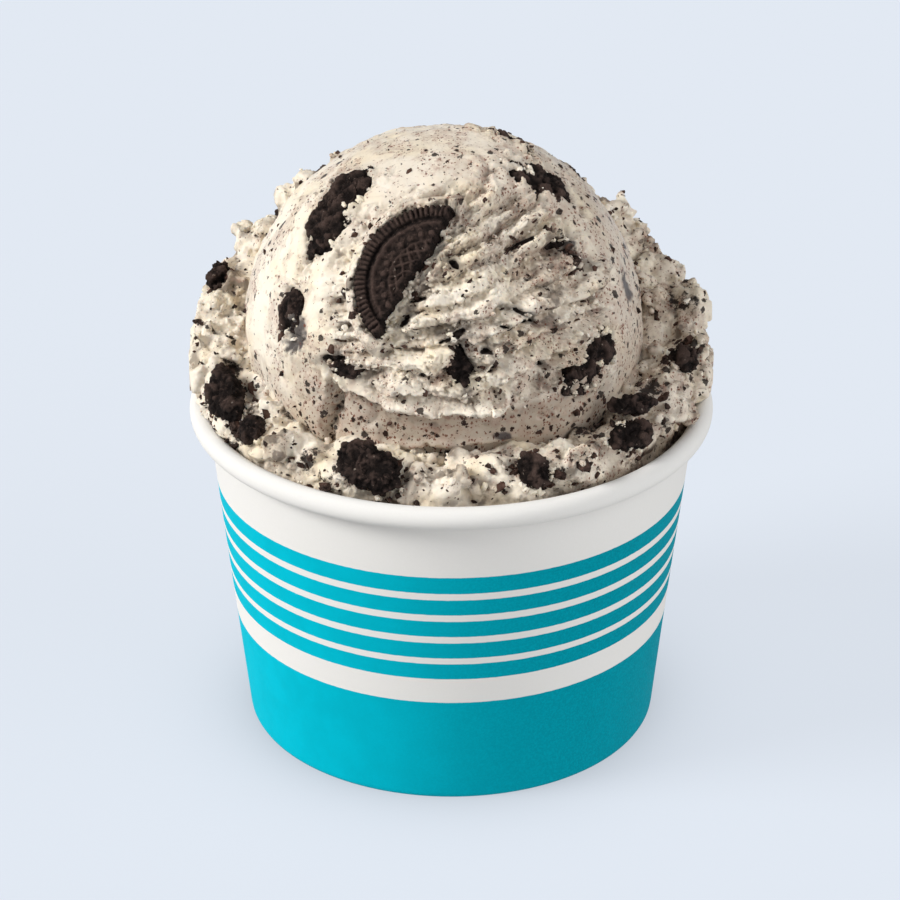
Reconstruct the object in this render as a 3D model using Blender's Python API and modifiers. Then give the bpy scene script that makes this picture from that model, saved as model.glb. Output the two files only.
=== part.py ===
"""A striped paper cup heaped with cookies-and-cream gelato: one round scoop pressed into a ragged collar.

Metres, +Z up. The origin is the centre of the cup's foot, and -Y is the side that the scoop's torn face is on.
A turn is an angle round +Z from -Y, positive towards +X. A rise is an angle above the horizontal.
"""

import math
import random

import bmesh
import bpy
from mathutils import Matrix, Vector, noise

MM = 0.001
CLEARANCE = 0.35 * MM

# Paper cup
CUP_HEIGHT = 60.0 * MM
FOOT_RADIUS = 36.0 * MM
WALL_TAPER = 0.106
PAPER = 0.5 * MM
RIM_OUTER_RADIUS = 45.2 * MM
RIM_HALF_HEIGHT = 1.95 * MM
FOOT_HEM_HEIGHT = 5.6 * MM
FOOT_HEM_THICKNESS = 1.4 * MM
CUP_FACETS = 64

# Scoop
SCOOP_RADIUS = 33.7 * MM
SCOOP_CENTRE = Vector((-1.2, 0.0, 73.0)) * MM
SCOOP_SEAT_HEIGHT = 54.0 * MM
SCOOP_CUTS = 17
TORN_CENTRE = (0.13, 0.07)
TORN_REACH = (0.76, 0.62)
TORN_DEPTH = 0.9 * MM
TORN_RIDGE = 0.9 * MM
LIP_LOWEST = -0.47
LIP_RISE = 0.55
BAND_LEFT = -0.56
BAND_RIGHT = 0.62
BAND_HEIGHT = 0.27
BAND_DEPTH = 1.7 * MM
BACK_RAGGED = 2.2 * MM
FACE_RISE = math.radians(24.8)

# Collar of torn gelato round the scoop: turn, crest height, crest radius, outer reach and foot height, all in mm
COLLAR_SHAPE = (
    (-180, 81.0, 38.0, 43.2, 62.2),
    (-150, 86.0, 38.5, 43.2, 62.2),
    (-138, 86.5, 38.5, 43.2, 62.2),
    (-120, 80.5, 40.5, 44.0, 62.2),
    (-105, 77.5, 42.0, 44.6, 62.2),
    (-90, 70.5, 41.5, 44.8, 62.0),
    (-68, 67.0, 38.5, 42.0, 61.2),
    (-40, 65.5, 35.5, 40.6, 59.8),
    (0, 65.5, 34.5, 40.4, 59.4),
    (35, 66.0, 35.0, 40.0, 59.6),
    (58, 67.5, 36.0, 38.6, 60.2),
    (75, 69.5, 38.5, 40.4, 61.0),
    (90, 71.5, 40.5, 44.4, 62.0),
    (106, 75.5, 41.0, 44.2, 62.2),
    (120, 79.5, 39.0, 43.0, 62.2),
    (136, 84.0, 37.5, 42.6, 62.2),
    (180, 81.0, 38.0, 43.2, 62.2),
)
COLLAR_STEPS = 90
COLLAR_ARC = range(-33, 91, 12)
COLLAR_REACH_LIMIT = 45.0 * MM
COLLAR_SPINE_RADIUS = 32.0 * MM
KNOB_SIZE = 8.2 * MM
KNOB_RELIEF = 3.4 * MM

# Broken wafer with a ribbed edge
WAFER_RADIUS = 12.8 * MM
WAFER_THICKNESS = 3.2 * MM
WAFER_BREAK_OFFSET = 3.2 * MM
WAFER_RIBS = 84
WAFER_RIB_DEPTH = 0.3 * MM
WAFER_PROUD = 0.6 * MM
WAFER_TURN = math.radians(-20.3)
WAFER_RISE = math.radians(41.3)
WAFER_BREAK_DIRECTION = math.radians(-32)

UP = Vector((0, 0, 1))
FACE = Vector((0, -math.cos(FACE_RISE), math.sin(FACE_RISE)))
FACE_UP = Vector((0, math.sin(FACE_RISE), math.cos(FACE_RISE)))

# Cookie pieces in the scoop: turn, rise, (length, width, thickness) in mm, slant in the face, how far proud in mm
SCOOP_COOKIES = {
    "cookie_chunk_upper_left": (-56.5, 50.6, (22.5, 11.0, 5.4), 56, 0.9),
    "cookie_chunk_upper_right": (67.0, 61.6, (17.6, 9.8, 5.2), 2, 0.6),
    "cookie_chunk_left": (-52.5, 18.8, (9.6, 7.4, 4.2), 72, 0.6),
    "cookie_chunk_right": (47.0, 3.6, (17.0, 8.0, 4.2), 27, 0.4),
    "cookie_chunk_middle": (4.8, 10.9, (10.4, 4.6, 3.8), -68, 0.5),
    "cookie_chunk_torn": (53.0, 38.8, (7.6, 5.0, 3.8), -20, 0.4),
    "cookie_chunk_crease": (-29.5, 8.0, (6.6, 4.4, 3.4), 8, 0.5),
    "cookie_chunk_top": (113.0, 69.0, (13.0, 4.4, 3.6), -42, 0.3),
    "cookie_chunk_back_left": (-135.0, 34.0, (13.0, 8.0, 5.0), 35, 0.7),
    "cookie_chunk_back": (168.0, 40.0, (15.0, 9.0, 5.0), -50, 0.8),
    "cookie_chunk_back_right": (118.0, 42.0, (9.0, 6.0, 4.5), 70, 0.4),
}

# Cookie pieces in the collar: turn, radius in mm, height in mm, (length, width, thickness) in mm, slant in the face
COLLAR_COOKIES = {
    "cookie_rubble_front": (-20.5, 38.8, 63.8, (13.4, 8.6, 5.2), -20),
    "cookie_rubble_left": (-68.4, 40.6, 66.2, (12.4, 6.8, 4.8), -70),
    "cookie_rubble_left_low": (-55.0, 40.4, 64.2, (5.2, 4.6, 3.8), 40),
    "cookie_rubble_far_left": (-106.0, 42.0, 76.4, (5.4, 4.8, 4.0), 15),
    "cookie_rubble_right_upper": (52.5, 38.2, 68.6, (9.4, 3.4, 3.6), 6),
    "cookie_rubble_right": (48.5, 39.8, 64.4, (9.8, 5.0, 4.2), 10),
    "cookie_rubble_far_right": (76.0, 40.6, 70.4, (5.8, 4.4, 3.8), -30),
    "cookie_rubble_front_right": (20.5, 38.6, 62.8, (6.4, 6.0, 4.2), -50),
    "cookie_rubble_back_right": (140.0, 42.0, 74.0, (11.0, 7.0, 5.0), 20),
    "cookie_rubble_back": (-165.0, 42.0, 70.0, (12.0, 7.5, 5.0), -35),
    "cookie_rubble_back_left": (-138.0, 42.5, 79.0, (8.0, 6.0, 4.6), 65),
}


def clear_scene():
    for obj in list(bpy.data.objects):
        bpy.data.objects.remove(obj)
    for collection in list(bpy.data.collections):
        bpy.data.collections.remove(collection)


def new_collection(name, helpers=False):
    collection = bpy.data.collections.new(name)
    collection.hide_render = helpers
    bpy.context.scene.collection.children.link(collection)
    return collection


def finish_material(name, colour, roughness):
    material = bpy.data.materials.new(name)
    material.use_nodes = True
    shader = material.node_tree.nodes["Principled BSDF"]
    shader.inputs["Base Color"].default_value = (*colour, 1.0)
    shader.inputs["Roughness"].default_value = roughness
    shader.inputs["Metallic"].default_value = 0.0
    return material


def smoothstep(low, high, value):
    share = min(1.0, max(0.0, (value - low) / (high - low)))
    return share * share * (3.0 - 2.0 * share)


def direction(turn, rise):
    """Unit vector at a turn round the cup and a rise above the horizontal."""
    return Vector((math.sin(turn) * math.cos(rise), -math.cos(turn) * math.cos(rise), math.sin(rise)))


def link_mesh(name, mesh, collection, material=None):
    obj = bpy.data.objects.new(name, mesh)
    collection.objects.link(obj)
    if material:
        obj.data.materials.append(material)
    return obj


def mesh_from(work, name):
    mesh = bpy.data.meshes.new(name)
    work.to_mesh(mesh)
    work.free()
    return mesh


def turned(name, profile, closed, collection, material=None):
    """Object made from an outline in the XZ plane, which runs down its outer side, swept once round Z."""
    work = bmesh.new()
    points = [work.verts.new((radius, 0, height)) for radius, height in profile]
    for first, second in zip(points, points[1:]):
        work.edges.new((first, second))
    if closed:
        work.edges.new((points[-1], points[0]))
    obj = link_mesh(name, mesh_from(work, name), collection, material)
    sweep = obj.modifiers.new("Sweep", "SCREW")
    sweep.axis = "Z"
    sweep.steps = CUP_FACETS
    sweep.render_steps = CUP_FACETS
    sweep.use_merge_vertices = True
    sweep.merge_threshold = 0.00001
    sweep.use_smooth_shade = True
    return obj


def evaluated_mesh(obj, name):
    graph = bpy.context.evaluated_depsgraph_get()
    mesh = bpy.data.meshes.new_from_object(obj.evaluated_get(graph))
    mesh.name = name
    mesh.transform(obj.matrix_world)
    return mesh


def biggest_shell(mesh):
    """Drops loose scraps and sealed hollows, so that one closed skin is left."""
    work = bmesh.new()
    work.from_mesh(mesh)
    bmesh.ops.remove_doubles(work, verts=work.verts, dist=0.004 * MM)
    bmesh.ops.dissolve_degenerate(work, edges=work.edges, dist=0.004 * MM)
    shells = []
    waiting = set(work.verts)
    while waiting:
        start = waiting.pop()
        shell, edge_of_search = {start}, [start]
        while edge_of_search:
            for link in edge_of_search.pop().link_edges:
                for vertex in link.verts:
                    if vertex in waiting:
                        waiting.discard(vertex)
                        shell.add(vertex)
                        edge_of_search.append(vertex)
        shells.append(shell)
    shells.sort(key=len, reverse=True)
    scraps = [vertex for shell in shells[1:] for vertex in shell]
    bmesh.ops.delete(work, geom=scraps, context="VERTS")
    bmesh.ops.triangulate(work, faces=work.faces)
    work.to_mesh(mesh)
    work.free()


def wall_outer(height):
    return FOOT_RADIUS + WALL_TAPER * height


def wall_inner(height):
    return wall_outer(height) - PAPER


def make_cup_wall(collection, material):
    """Tapered paper wall with a rolled rim and a folded hem at its foot."""
    roll_height = CUP_HEIGHT - RIM_HALF_HEIGHT
    roll_inner = wall_inner(roll_height)
    roll_half_width = (RIM_OUTER_RADIUS - roll_inner) / 2
    roll_centre = roll_inner + roll_half_width
    roll = []
    for degrees in range(180, -91, -30):
        angle = math.radians(degrees)
        roll.append((roll_centre + roll_half_width * math.cos(angle), roll_height + RIM_HALF_HEIGHT * math.sin(angle)))
    tuck_height = roll_height - RIM_HALF_HEIGHT * 0.82
    hem_inner = wall_outer(0) - FOOT_HEM_THICKNESS
    profile = [
        *roll,
        (wall_outer(tuck_height) + 0.25 * MM, tuck_height),
        (wall_outer(tuck_height), tuck_height - 0.4 * MM),
        (wall_outer(1.0 * MM), 1.0 * MM),
        (wall_outer(0) - 0.2 * MM, 0.0),
        (hem_inner + 0.2 * MM, 0.0),
        (hem_inner, 0.4 * MM),
        (hem_inner + WALL_TAPER * FOOT_HEM_HEIGHT, FOOT_HEM_HEIGHT),
        (wall_inner(FOOT_HEM_HEIGHT), FOOT_HEM_HEIGHT + 0.02 * MM),
    ]
    return turned("cup_wall", profile, True, collection, material)


def make_cup_base(collection, material):
    """Recessed paper disc that rests on the hem."""
    underside = FOOT_HEM_HEIGHT + CLEARANCE
    radius = wall_inner(underside) - CLEARANCE
    profile = [
        (0, underside + PAPER),
        (radius, underside + PAPER),
        (radius, underside),
        (0, underside),
    ]
    return turned("cup_base", profile, False, collection, material)


def face_place(normal):
    """Place on the scoop as seen square to its torn face: across, up and towards the viewer, in radii."""
    return normal.x, normal.dot(FACE_UP), normal.dot(FACE)


def lip_height(across):
    return LIP_LOWEST + LIP_RISE * (across - 0.03) ** 2


def torn_share(across, up, towards):
    """How torn the scoop's front is, from 0 where the ball is smooth to 1."""
    reach = math.hypot((across - TORN_CENTRE[0]) / TORN_REACH[0], (up - TORN_CENTRE[1]) / TORN_REACH[1])
    above_lip = smoothstep(-0.03, 0.03, up - lip_height(across))
    return (1 - smoothstep(0.8, 1.08, reach)) * above_lip * smoothstep(0.0, 0.2, towards)


def band_share(across, up, towards):
    """How deep the smooth band under the torn face's lip lies."""
    below = lip_height(across) - up
    inside = smoothstep(-0.01, 0.05, below) * (1 - smoothstep(BAND_HEIGHT - 0.1, BAND_HEIGHT + 0.12, below))
    ends = smoothstep(BAND_LEFT - 0.02, BAND_LEFT + 0.04, across) * (1 - smoothstep(0.2, BAND_RIGHT, across))
    return inside * ends * smoothstep(0.0, 0.2, towards)


def scoop_relief(normal):
    """Height of the scoop's skin above its plain ball."""
    across, up, towards = face_place(normal)
    torn = torn_share(across, up, towards)
    fan = up - (0.12 + 0.5 * (up + 0.4)) * (across + 0.3)
    ridge = noise.noise(Vector((across * 1.6, fan * 7.5, 3.1)))
    relief = torn * (TORN_RIDGE * ridge * 2.0 - TORN_DEPTH)
    relief -= band_share(across, up, towards) * BAND_DEPTH
    ragged = 1 - smoothstep(-0.35, 0.1, towards)
    relief += ragged * BACK_RAGGED * (knobs(normal * SCOOP_RADIUS, 1.3 * KNOB_SIZE) - 0.5)
    relief += 0.5 * MM * noise.noise(normal * 2.3 + Vector((4, 1, 2)))
    return relief


def make_scoop_skin(name, grow, collection, material=None):
    """The scoop as a closed skin, grown by some distance: a cube cut into a grid, rounded, then pressed flat below."""
    work = bmesh.new()
    bmesh.ops.create_cube(work, size=2.0)
    bmesh.ops.subdivide_edges(work, edges=work.edges, cuts=SCOOP_CUTS, use_grid_fill=True)
    for vertex in work.verts:
        spread = Vector([math.tan(value * math.pi / 4) for value in vertex.co])
        normal = spread.normalized()
        vertex.co = SCOOP_CENTRE + normal * (SCOOP_RADIUS + scoop_relief(normal) + grow)
    seat = Vector((0, 0, SCOOP_SEAT_HEIGHT - grow))
    bmesh.ops.bisect_plane(
        work, geom=[*work.verts, *work.edges, *work.faces], dist=0.05 * MM, plane_co=seat, plane_no=UP, clear_inner=True
    )
    rim = [edge for edge in work.edges if edge.is_boundary]
    bmesh.ops.holes_fill(work, edges=rim, sides=0)
    bmesh.ops.triangulate(work, faces=work.faces)
    bmesh.ops.recalc_face_normals(work, faces=work.faces)
    return link_mesh(name, mesh_from(work, name), collection, material)


def collar_at(turn):
    """Crest height, crest radius, outer reach and foot height of the collar at this turn."""
    degrees = math.degrees(turn)
    for before, after in zip(COLLAR_SHAPE, COLLAR_SHAPE[1:]):
        if before[0] <= degrees <= after[0]:
            share = smoothstep(before[0], after[0], degrees)
            return [(low + (high - low) * share) * MM for low, high in zip(before[1:], after[1:])]
    return [size * MM for size in COLLAR_SHAPE[0][1:]]


def knobs(point, size):
    """Packed rounded knobs, 1 on the crown of a knob and about 0 in the creases between."""
    distances = noise.voronoi(point / size)[0]
    return 1.0 - min(1.0, distances[0] / 0.8) ** 2


def collar_relief(point):
    """Height of the torn collar's skin above its plain shape."""
    warped = point + noise.noise_vector(point / (11 * MM)) * 2.4 * MM
    return KNOB_RELIEF * (knobs(warped, KNOB_SIZE) - 0.62)


def collar_point(turn, degrees):
    """A place on the collar, from the inner side (-90) over the crest (0) down to the outer foot (90)."""
    crest, crest_radius, reach, foot = collar_at(turn)
    angle = math.radians(degrees)
    side = reach - crest_radius if degrees > 0 else crest_radius - 22 * MM
    radius = crest_radius + side * math.sin(angle)
    height = foot + (crest - foot) * math.cos(angle)
    place = direction(turn, 0) * radius + UP * height
    spine = direction(turn, 0) * COLLAR_SPINE_RADIUS + UP * min(height, crest - 5 * MM)
    place += (place - spine).normalized() * collar_relief(place)
    spread = math.hypot(place.x, place.y)
    if spread > COLLAR_REACH_LIMIT:
        place.xy *= COLLAR_REACH_LIMIT / spread
    return place


def make_collar(collection):
    """Fill of the cup with its torn collar, before anything is cut from it: a grid swept round Z."""
    floor = FOOT_HEM_HEIGHT + PAPER + 2 * CLEARANCE
    brim = CUP_HEIGHT - 6 * MM
    below = [(wall_inner(height) - CLEARANCE, height) for height in (brim, 30 * MM, floor)]
    arc = list(COLLAR_ARC)
    profile = [(0, 0), *[(index + 1, 0) for index in range(len(arc) + len(below))], (0, -1)]
    plain = turned("collar_grid", profile, False, collection)
    plain.modifiers["Sweep"].steps = COLLAR_STEPS
    plain.modifiers["Sweep"].render_steps = COLLAR_STEPS
    mesh = evaluated_mesh(plain, "collar")
    bpy.data.objects.remove(plain)
    for vertex in mesh.vertices:
        turn = math.atan2(vertex.co.x, -vertex.co.y)
        row = round(math.hypot(vertex.co.x, vertex.co.y)) - 1
        if row < 0:
            vertex.co = Vector((0, 0, floor if vertex.co.z < -0.5 else 70 * MM))
        elif row < len(arc):
            vertex.co = collar_point(turn, arc[row])
        else:
            radius, height = below[row - len(arc)]
            vertex.co = direction(turn, 0) * radius + UP * height
    return link_mesh("collar", mesh, collection)


def make_keep_out(collection):
    """Ring that keeps the gelato clear of the paper wall and its rim."""
    top = CUP_HEIGHT + CLEARANCE
    brim = CUP_HEIGHT - RIM_HALF_HEIGHT
    profile = [
        (wall_inner(brim) + 0.5 * MM, top),
        (60 * MM, top),
        (60 * MM, -2 * MM),
        (wall_inner(-2 * MM) - CLEARANCE, -2 * MM),
        (wall_inner(brim) - CLEARANCE, brim + 0.6 * MM),
    ]
    return turned("keep_out_ring", profile, True, collection)


def make_chunk(name, place, aim, slant, size, collection, material, grow=0.0):
    """Angular broken piece of cookie: the hull of scattered corners, its length slanting across the viewer's face."""
    draw = random.Random(name)
    work = bmesh.new()
    half = Vector(size) * 0.5 * MM
    for corner in range(22):
        angle = 2.399963 * corner + draw.uniform(-0.35, 0.35)
        level = -0.92 + 1.84 * (corner + 0.5) / 22
        ring = math.sqrt(1 - level * level) ** 0.55 * draw.uniform(0.78, 1.0)
        work.verts.new((
            (half.x + grow) * ring * math.cos(angle),
            (half.y + grow) * ring * math.sin(angle),
            (half.z + grow) * level,
        ))
    hull = bmesh.ops.convex_hull(work, input=work.verts)
    unused = [item for item in hull["geom_interior"] if isinstance(item, bmesh.types.BMVert)]
    bmesh.ops.delete(work, geom=unused, context="VERTS")
    bmesh.ops.recalc_face_normals(work, faces=work.faces)
    across = Vector((1, 0, 0)) - aim * aim.x
    across = UP.cross(aim) if across.length < 0.35 else across
    across.normalize()
    upward = aim.cross(across)
    long_axis = across * math.cos(slant) + upward * math.sin(slant)
    axes = Matrix((long_axis, aim.cross(long_axis), aim)).transposed().to_4x4()
    bmesh.ops.transform(work, matrix=Matrix.Translation(place) @ axes, verts=work.verts)
    return link_mesh(name, mesh_from(work, name), collection, material)


def make_cookies(collection, material, grow=0.0):
    """Every broken cookie piece, or with grow the room that each one needs."""
    made = []
    for name, (turn, rise, size, slant, proud) in SCOOP_COOKIES.items():
        aim = direction(math.radians(turn), math.radians(rise))
        skin = SCOOP_RADIUS + scoop_relief(aim)
        place = SCOOP_CENTRE + aim * (skin + proud * MM - size[2] * 0.5 * MM)
        made.append(make_chunk(name, place, aim, math.radians(slant), size, collection, material, grow))
    for name, (turn, radius, height, size, slant) in COLLAR_COOKIES.items():
        outward = direction(math.radians(turn), math.radians(30))
        aim = (outward + FACE * (0.6 if abs(turn) < 100 else 0.0)).normalized()
        place = direction(math.radians(turn), 0) * radius * MM + UP * height * MM
        made.append(make_chunk(name, place, aim, math.radians(slant), size, collection, material, grow))
    return made


def make_wafer(name, collection, material, grow=0.0):
    """Just under half of a round wafer, ribbed round its edge and broken along one side."""
    work = bmesh.new()
    radius = WAFER_RADIUS + grow
    bmesh.ops.create_cone(
        work, cap_ends=True, segments=2 * WAFER_RIBS, radius1=radius, radius2=radius, depth=WAFER_THICKNESS + 2 * grow
    )
    if not grow:
        for vertex in work.verts:
            rib = round(math.atan2(vertex.co.y, vertex.co.x) / math.tau * 2 * WAFER_RIBS) % 2
            vertex.co.xy *= 1 - rib * WAFER_RIB_DEPTH / radius
    broken = Vector((WAFER_BREAK_OFFSET - grow, 0, 0))
    bmesh.ops.bisect_plane(
        work, geom=[*work.verts, *work.edges, *work.faces], plane_co=broken, plane_no=Vector((1, 0, 0)), clear_inner=True
    )
    bmesh.ops.holes_fill(work, edges=[edge for edge in work.edges if edge.is_boundary], sides=0)
    bmesh.ops.triangulate(work, faces=work.faces)
    bmesh.ops.recalc_face_normals(work, faces=work.faces)
    aim = direction(WAFER_TURN, WAFER_RISE)
    across = (Vector((1, 0, 0)) - aim * aim.x).normalized()
    upward = aim.cross(across)
    slant = WAFER_BREAK_DIRECTION + math.pi
    outward = across * math.cos(slant) + upward * math.sin(slant)
    axes = Matrix((outward, aim.cross(outward), aim)).transposed().to_4x4()
    segment_middle = (WAFER_BREAK_OFFSET + WAFER_RADIUS) / 2
    place = SCOOP_CENTRE + aim * (SCOOP_RADIUS + WAFER_PROUD - WAFER_THICKNESS / 2) - outward * segment_middle
    bmesh.ops.transform(work, matrix=Matrix.Translation(place) @ axes, verts=work.verts)
    return link_mesh(name, mesh_from(work, name), collection, material)


def boolean(obj, operation, collection):
    step = obj.modifiers.new(operation.title(), "BOOLEAN")
    step.operation = operation
    step.operand_type = "COLLECTION"
    step.collection = collection
    step.solver = "EXACT"
    return step


def cut_and_keep(name, obj, cutters, collection, material):
    """Applies the cuts to obj and links what is left as the node."""
    boolean(obj, "DIFFERENCE", cutters)
    mesh = evaluated_mesh(obj, name)
    mesh.materials.clear()
    bpy.data.objects.remove(obj)
    biggest_shell(mesh)
    return link_mesh(name, mesh, collection, material)


def main():
    clear_scene()
    parts = new_collection("gelato_cup")
    working = new_collection("working_shapes", helpers=True)
    collar_cutters = new_collection("collar_cutters", helpers=True)
    scoop_cutters = new_collection("scoop_cutters", helpers=True)
    paper = finish_material("printed_paper", (0.0, 0.36, 0.46), 0.45)
    white_paper = finish_material("white_paper", (0.80, 0.79, 0.76), 0.5)
    gelato = finish_material("cookies_and_cream_gelato", (0.84, 0.79, 0.68), 0.42)
    cookie = finish_material("dark_cookie", (0.030, 0.020, 0.016), 0.75)

    make_cup_wall(parts, paper)
    make_cup_base(parts, white_paper)
    make_cookies(parts, cookie)
    make_wafer("cookie_wafer", parts, cookie)

    make_cookies(scoop_cutters, None, grow=0.45 * MM)
    make_wafer("wafer_room", scoop_cutters, None, grow=0.4 * MM)
    for cutter in scoop_cutters.objects:
        collar_cutters.objects.link(cutter)
    make_scoop_skin("scoop_room", 0.4 * MM, collar_cutters)
    make_keep_out(collar_cutters)

    scoop = make_scoop_skin("scoop_skin", 0.0, working)
    cut_and_keep("gelato_scoop", scoop, scoop_cutters, parts, gelato)

    collar = make_collar(working)
    cut_and_keep("gelato_collar", collar, collar_cutters, parts, gelato)

    for collection in (scoop_cutters, collar_cutters, working):
        for helper in list(collection.objects):
            bpy.data.objects.remove(helper)
        bpy.data.collections.remove(collection)
    for obj in parts.objects:
        obj.data.shade_smooth()
        obj.data.set_sharp_from_angle(angle=math.radians(40))


main()
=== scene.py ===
"""Striped paper cup heaped with cookies-and-cream gelato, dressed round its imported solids.

Pieces are made in millimetres and their meshes are scaled to metres at the end. -Y is the shown side.
A turn is an angle round +Z from -Y, positive towards +X. A rise is an angle above the horizontal.
"""
import math
import random

import bmesh
import bpy
from mathutils import Matrix, Vector, noise
from mathutils.bvhtree import BVHTree


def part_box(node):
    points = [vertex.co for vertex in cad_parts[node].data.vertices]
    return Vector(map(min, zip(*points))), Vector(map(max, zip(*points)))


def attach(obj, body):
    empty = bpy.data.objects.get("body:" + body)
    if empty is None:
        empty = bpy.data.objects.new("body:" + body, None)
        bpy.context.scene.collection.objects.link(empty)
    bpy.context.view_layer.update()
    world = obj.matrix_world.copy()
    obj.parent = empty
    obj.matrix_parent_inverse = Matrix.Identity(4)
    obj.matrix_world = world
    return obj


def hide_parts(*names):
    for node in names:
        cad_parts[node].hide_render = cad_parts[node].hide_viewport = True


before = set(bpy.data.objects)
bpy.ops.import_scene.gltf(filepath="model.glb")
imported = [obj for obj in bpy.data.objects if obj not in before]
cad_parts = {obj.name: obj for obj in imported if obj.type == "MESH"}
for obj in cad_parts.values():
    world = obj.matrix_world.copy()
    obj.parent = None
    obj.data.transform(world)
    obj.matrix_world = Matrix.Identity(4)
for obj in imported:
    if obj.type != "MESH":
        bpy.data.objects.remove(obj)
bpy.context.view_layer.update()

bl_info = {
    "name": "Gelato cup dresser",
    "version": (1, 0, 0),
    "blender": (4, 5, 0),
    "location": "3D View > Sidebar > Gelato cup",
    "description": "Makes the printed paper cup, the torn gelato and the broken cookies",
    "category": "Object",
}

UP = Vector((0, 0, 1))


class CupSizes(bpy.types.PropertyGroup):
    """Sizes in millimetres and colours of the printed paper cup."""

    height: bpy.props.FloatProperty(
        name="Height", description="Foot to top of the rolled rim", default=60.0,
    )
    foot_radius: bpy.props.FloatProperty(
        name="Foot radius", description="Outside radius at the foot", default=36.0,
    )
    taper: bpy.props.FloatProperty(
        name="Taper", description="Growth of the radius for each unit of height", default=0.106,
    )
    paper: bpy.props.FloatProperty(name="Paper", description="Thickness of the paper", default=0.5)
    rim_radius: bpy.props.FloatProperty(
        name="Rim radius", description="Outside radius of the rolled rim", default=45.15,
    )
    rim_half_height: bpy.props.FloatProperty(
        name="Rim half height", description="Half the rolled rim's height", default=1.95,
    )
    hem_height: bpy.props.FloatProperty(
        name="Hem height", description="Height of the folded hem at the foot", default=5.6,
    )
    hem_thickness: bpy.props.FloatProperty(
        name="Hem thickness", description="Thickness of the folded hem", default=1.4,
    )
    print_edges: bpy.props.FloatVectorProperty(
        name="Print edges", description="Heights at which the print changes colour, from the foot up", size=11,
        default=(20.1, 25.0, 28.1, 29.3, 32.4, 33.7, 36.8, 38.1, 41.1, 42.4, 45.6),
    )
    ink: bpy.props.FloatVectorProperty(
        name="Ink", description="Colour of the printed bands", subtype="COLOR", size=3, default=(0.0, 0.355, 0.455),
    )
    board: bpy.props.FloatVectorProperty(
        name="Board", description="Colour of the bare board", subtype="COLOR", size=3, default=(0.755, 0.742, 0.717),
    )


class GelatoSizes(bpy.types.PropertyGroup):
    """Sizes in millimetres and colours of the scoop and its collar."""

    scoop_radius: bpy.props.FloatProperty(
        name="Scoop radius", description="Radius of the round scoop", default=33.7,
    )
    scoop_centre: bpy.props.FloatVectorProperty(
        name="Scoop centre", description="Middle of the round scoop", size=3, default=(-1.2, 0.0, 73.0),
    )
    scoop_seat: bpy.props.FloatProperty(
        name="Seat height", description="Height of the scoop's flat seat", default=54.0,
    )
    torn_depth: bpy.props.FloatProperty(
        name="Torn depth", description="How far the torn face lies under the ball", default=0.9,
    )
    ridge_height: bpy.props.FloatProperty(
        name="Ridge height", description="Height of the sheared ridges", default=2.9,
    )
    ridge_pitch: bpy.props.FloatProperty(
        name="Ridge pitch", description="Share of the radius from ridge to ridge", default=0.096,
    )
    band_depth: bpy.props.FloatProperty(
        name="Band depth", description="Depth of the smooth band under the lip", default=1.9,
    )
    knob_size: bpy.props.FloatProperty(
        name="Knob size", description="Width of a large knob of the collar", default=8.2,
    )
    knob_relief: bpy.props.FloatProperty(name="Knob relief", description="Height of a large knob", default=4.3)
    grain: bpy.props.FloatProperty(
        name="Grain", description="Width of the smallest modelled grain", default=0.40,
    )
    tufts: bpy.props.IntProperty(
        name="Tufts", description="How many torn tufts stand on the collar", default=480,
    )
    bits: bpy.props.IntProperty(
        name="Bits", description="How many small torn bits lie on the gelato", default=1500,
    )
    cream: bpy.props.FloatVectorProperty(
        name="Cream", description="Colour of the clean cream", subtype="COLOR", size=3, default=(0.85, 0.772, 0.655),
    )
    # Colour for cookie dust, also used as painted shade on the band under the lip and on the side away from the key
    # lamp.
    dusk: bpy.props.FloatVectorProperty(
        name="Dusty cream", description="Colour of cream tinted by cookie dust", subtype="COLOR", size=3,
        default=(0.53, 0.446, 0.358),
    )


class CookieSizes(bpy.types.PropertyGroup):
    """Sizes in millimetres and colours of the cookie pieces."""

    wafer_radius: bpy.props.FloatProperty(
        name="Wafer radius", description="Radius of the whole wafer", default=12.8,
    )
    wafer_thickness: bpy.props.FloatProperty(
        name="Wafer thickness", description="Thickness of the wafer", default=3.2,
    )
    break_offset: bpy.props.FloatProperty(
        name="Break offset", description="Break's distance from the middle", default=3.2,
    )
    ribs: bpy.props.IntProperty(name="Ribs", description="Ribs round the whole wafer's edge", default=84)
    proud: bpy.props.FloatProperty(
        name="Proud", description="Height of the wafer's face over the ball", default=0.6,
    )
    turn: bpy.props.FloatProperty(
        name="Turn", description="Turn of the wafer on the scoop", subtype="ANGLE", default=math.radians(-20.3),
    )
    rise: bpy.props.FloatProperty(
        name="Rise", description="Rise of the wafer on the scoop", subtype="ANGLE", default=math.radians(41.3),
    )
    break_direction: bpy.props.FloatProperty(
        name="Break direction", description="Way that the broken side faces", subtype="ANGLE", default=math.radians(-32),
    )
    crumbs: bpy.props.IntProperty(
        name="Crumbs", description="How many loose crumbs lie in the gelato", default=2800,
    )
    baked: bpy.props.FloatVectorProperty(
        name="Baked", description="Colour of the dark cookie", subtype="COLOR", size=3, default=(0.010, 0.0065, 0.0055),
    )
    # Also the painted light on the cookie's raised parts and top face.
    worn_and_lit: bpy.props.FloatVectorProperty(
        name="Worn", description="Colour of the cookie's worn edges", subtype="COLOR", size=3, default=(0.085, 0.055, 0.045),
    )


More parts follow.
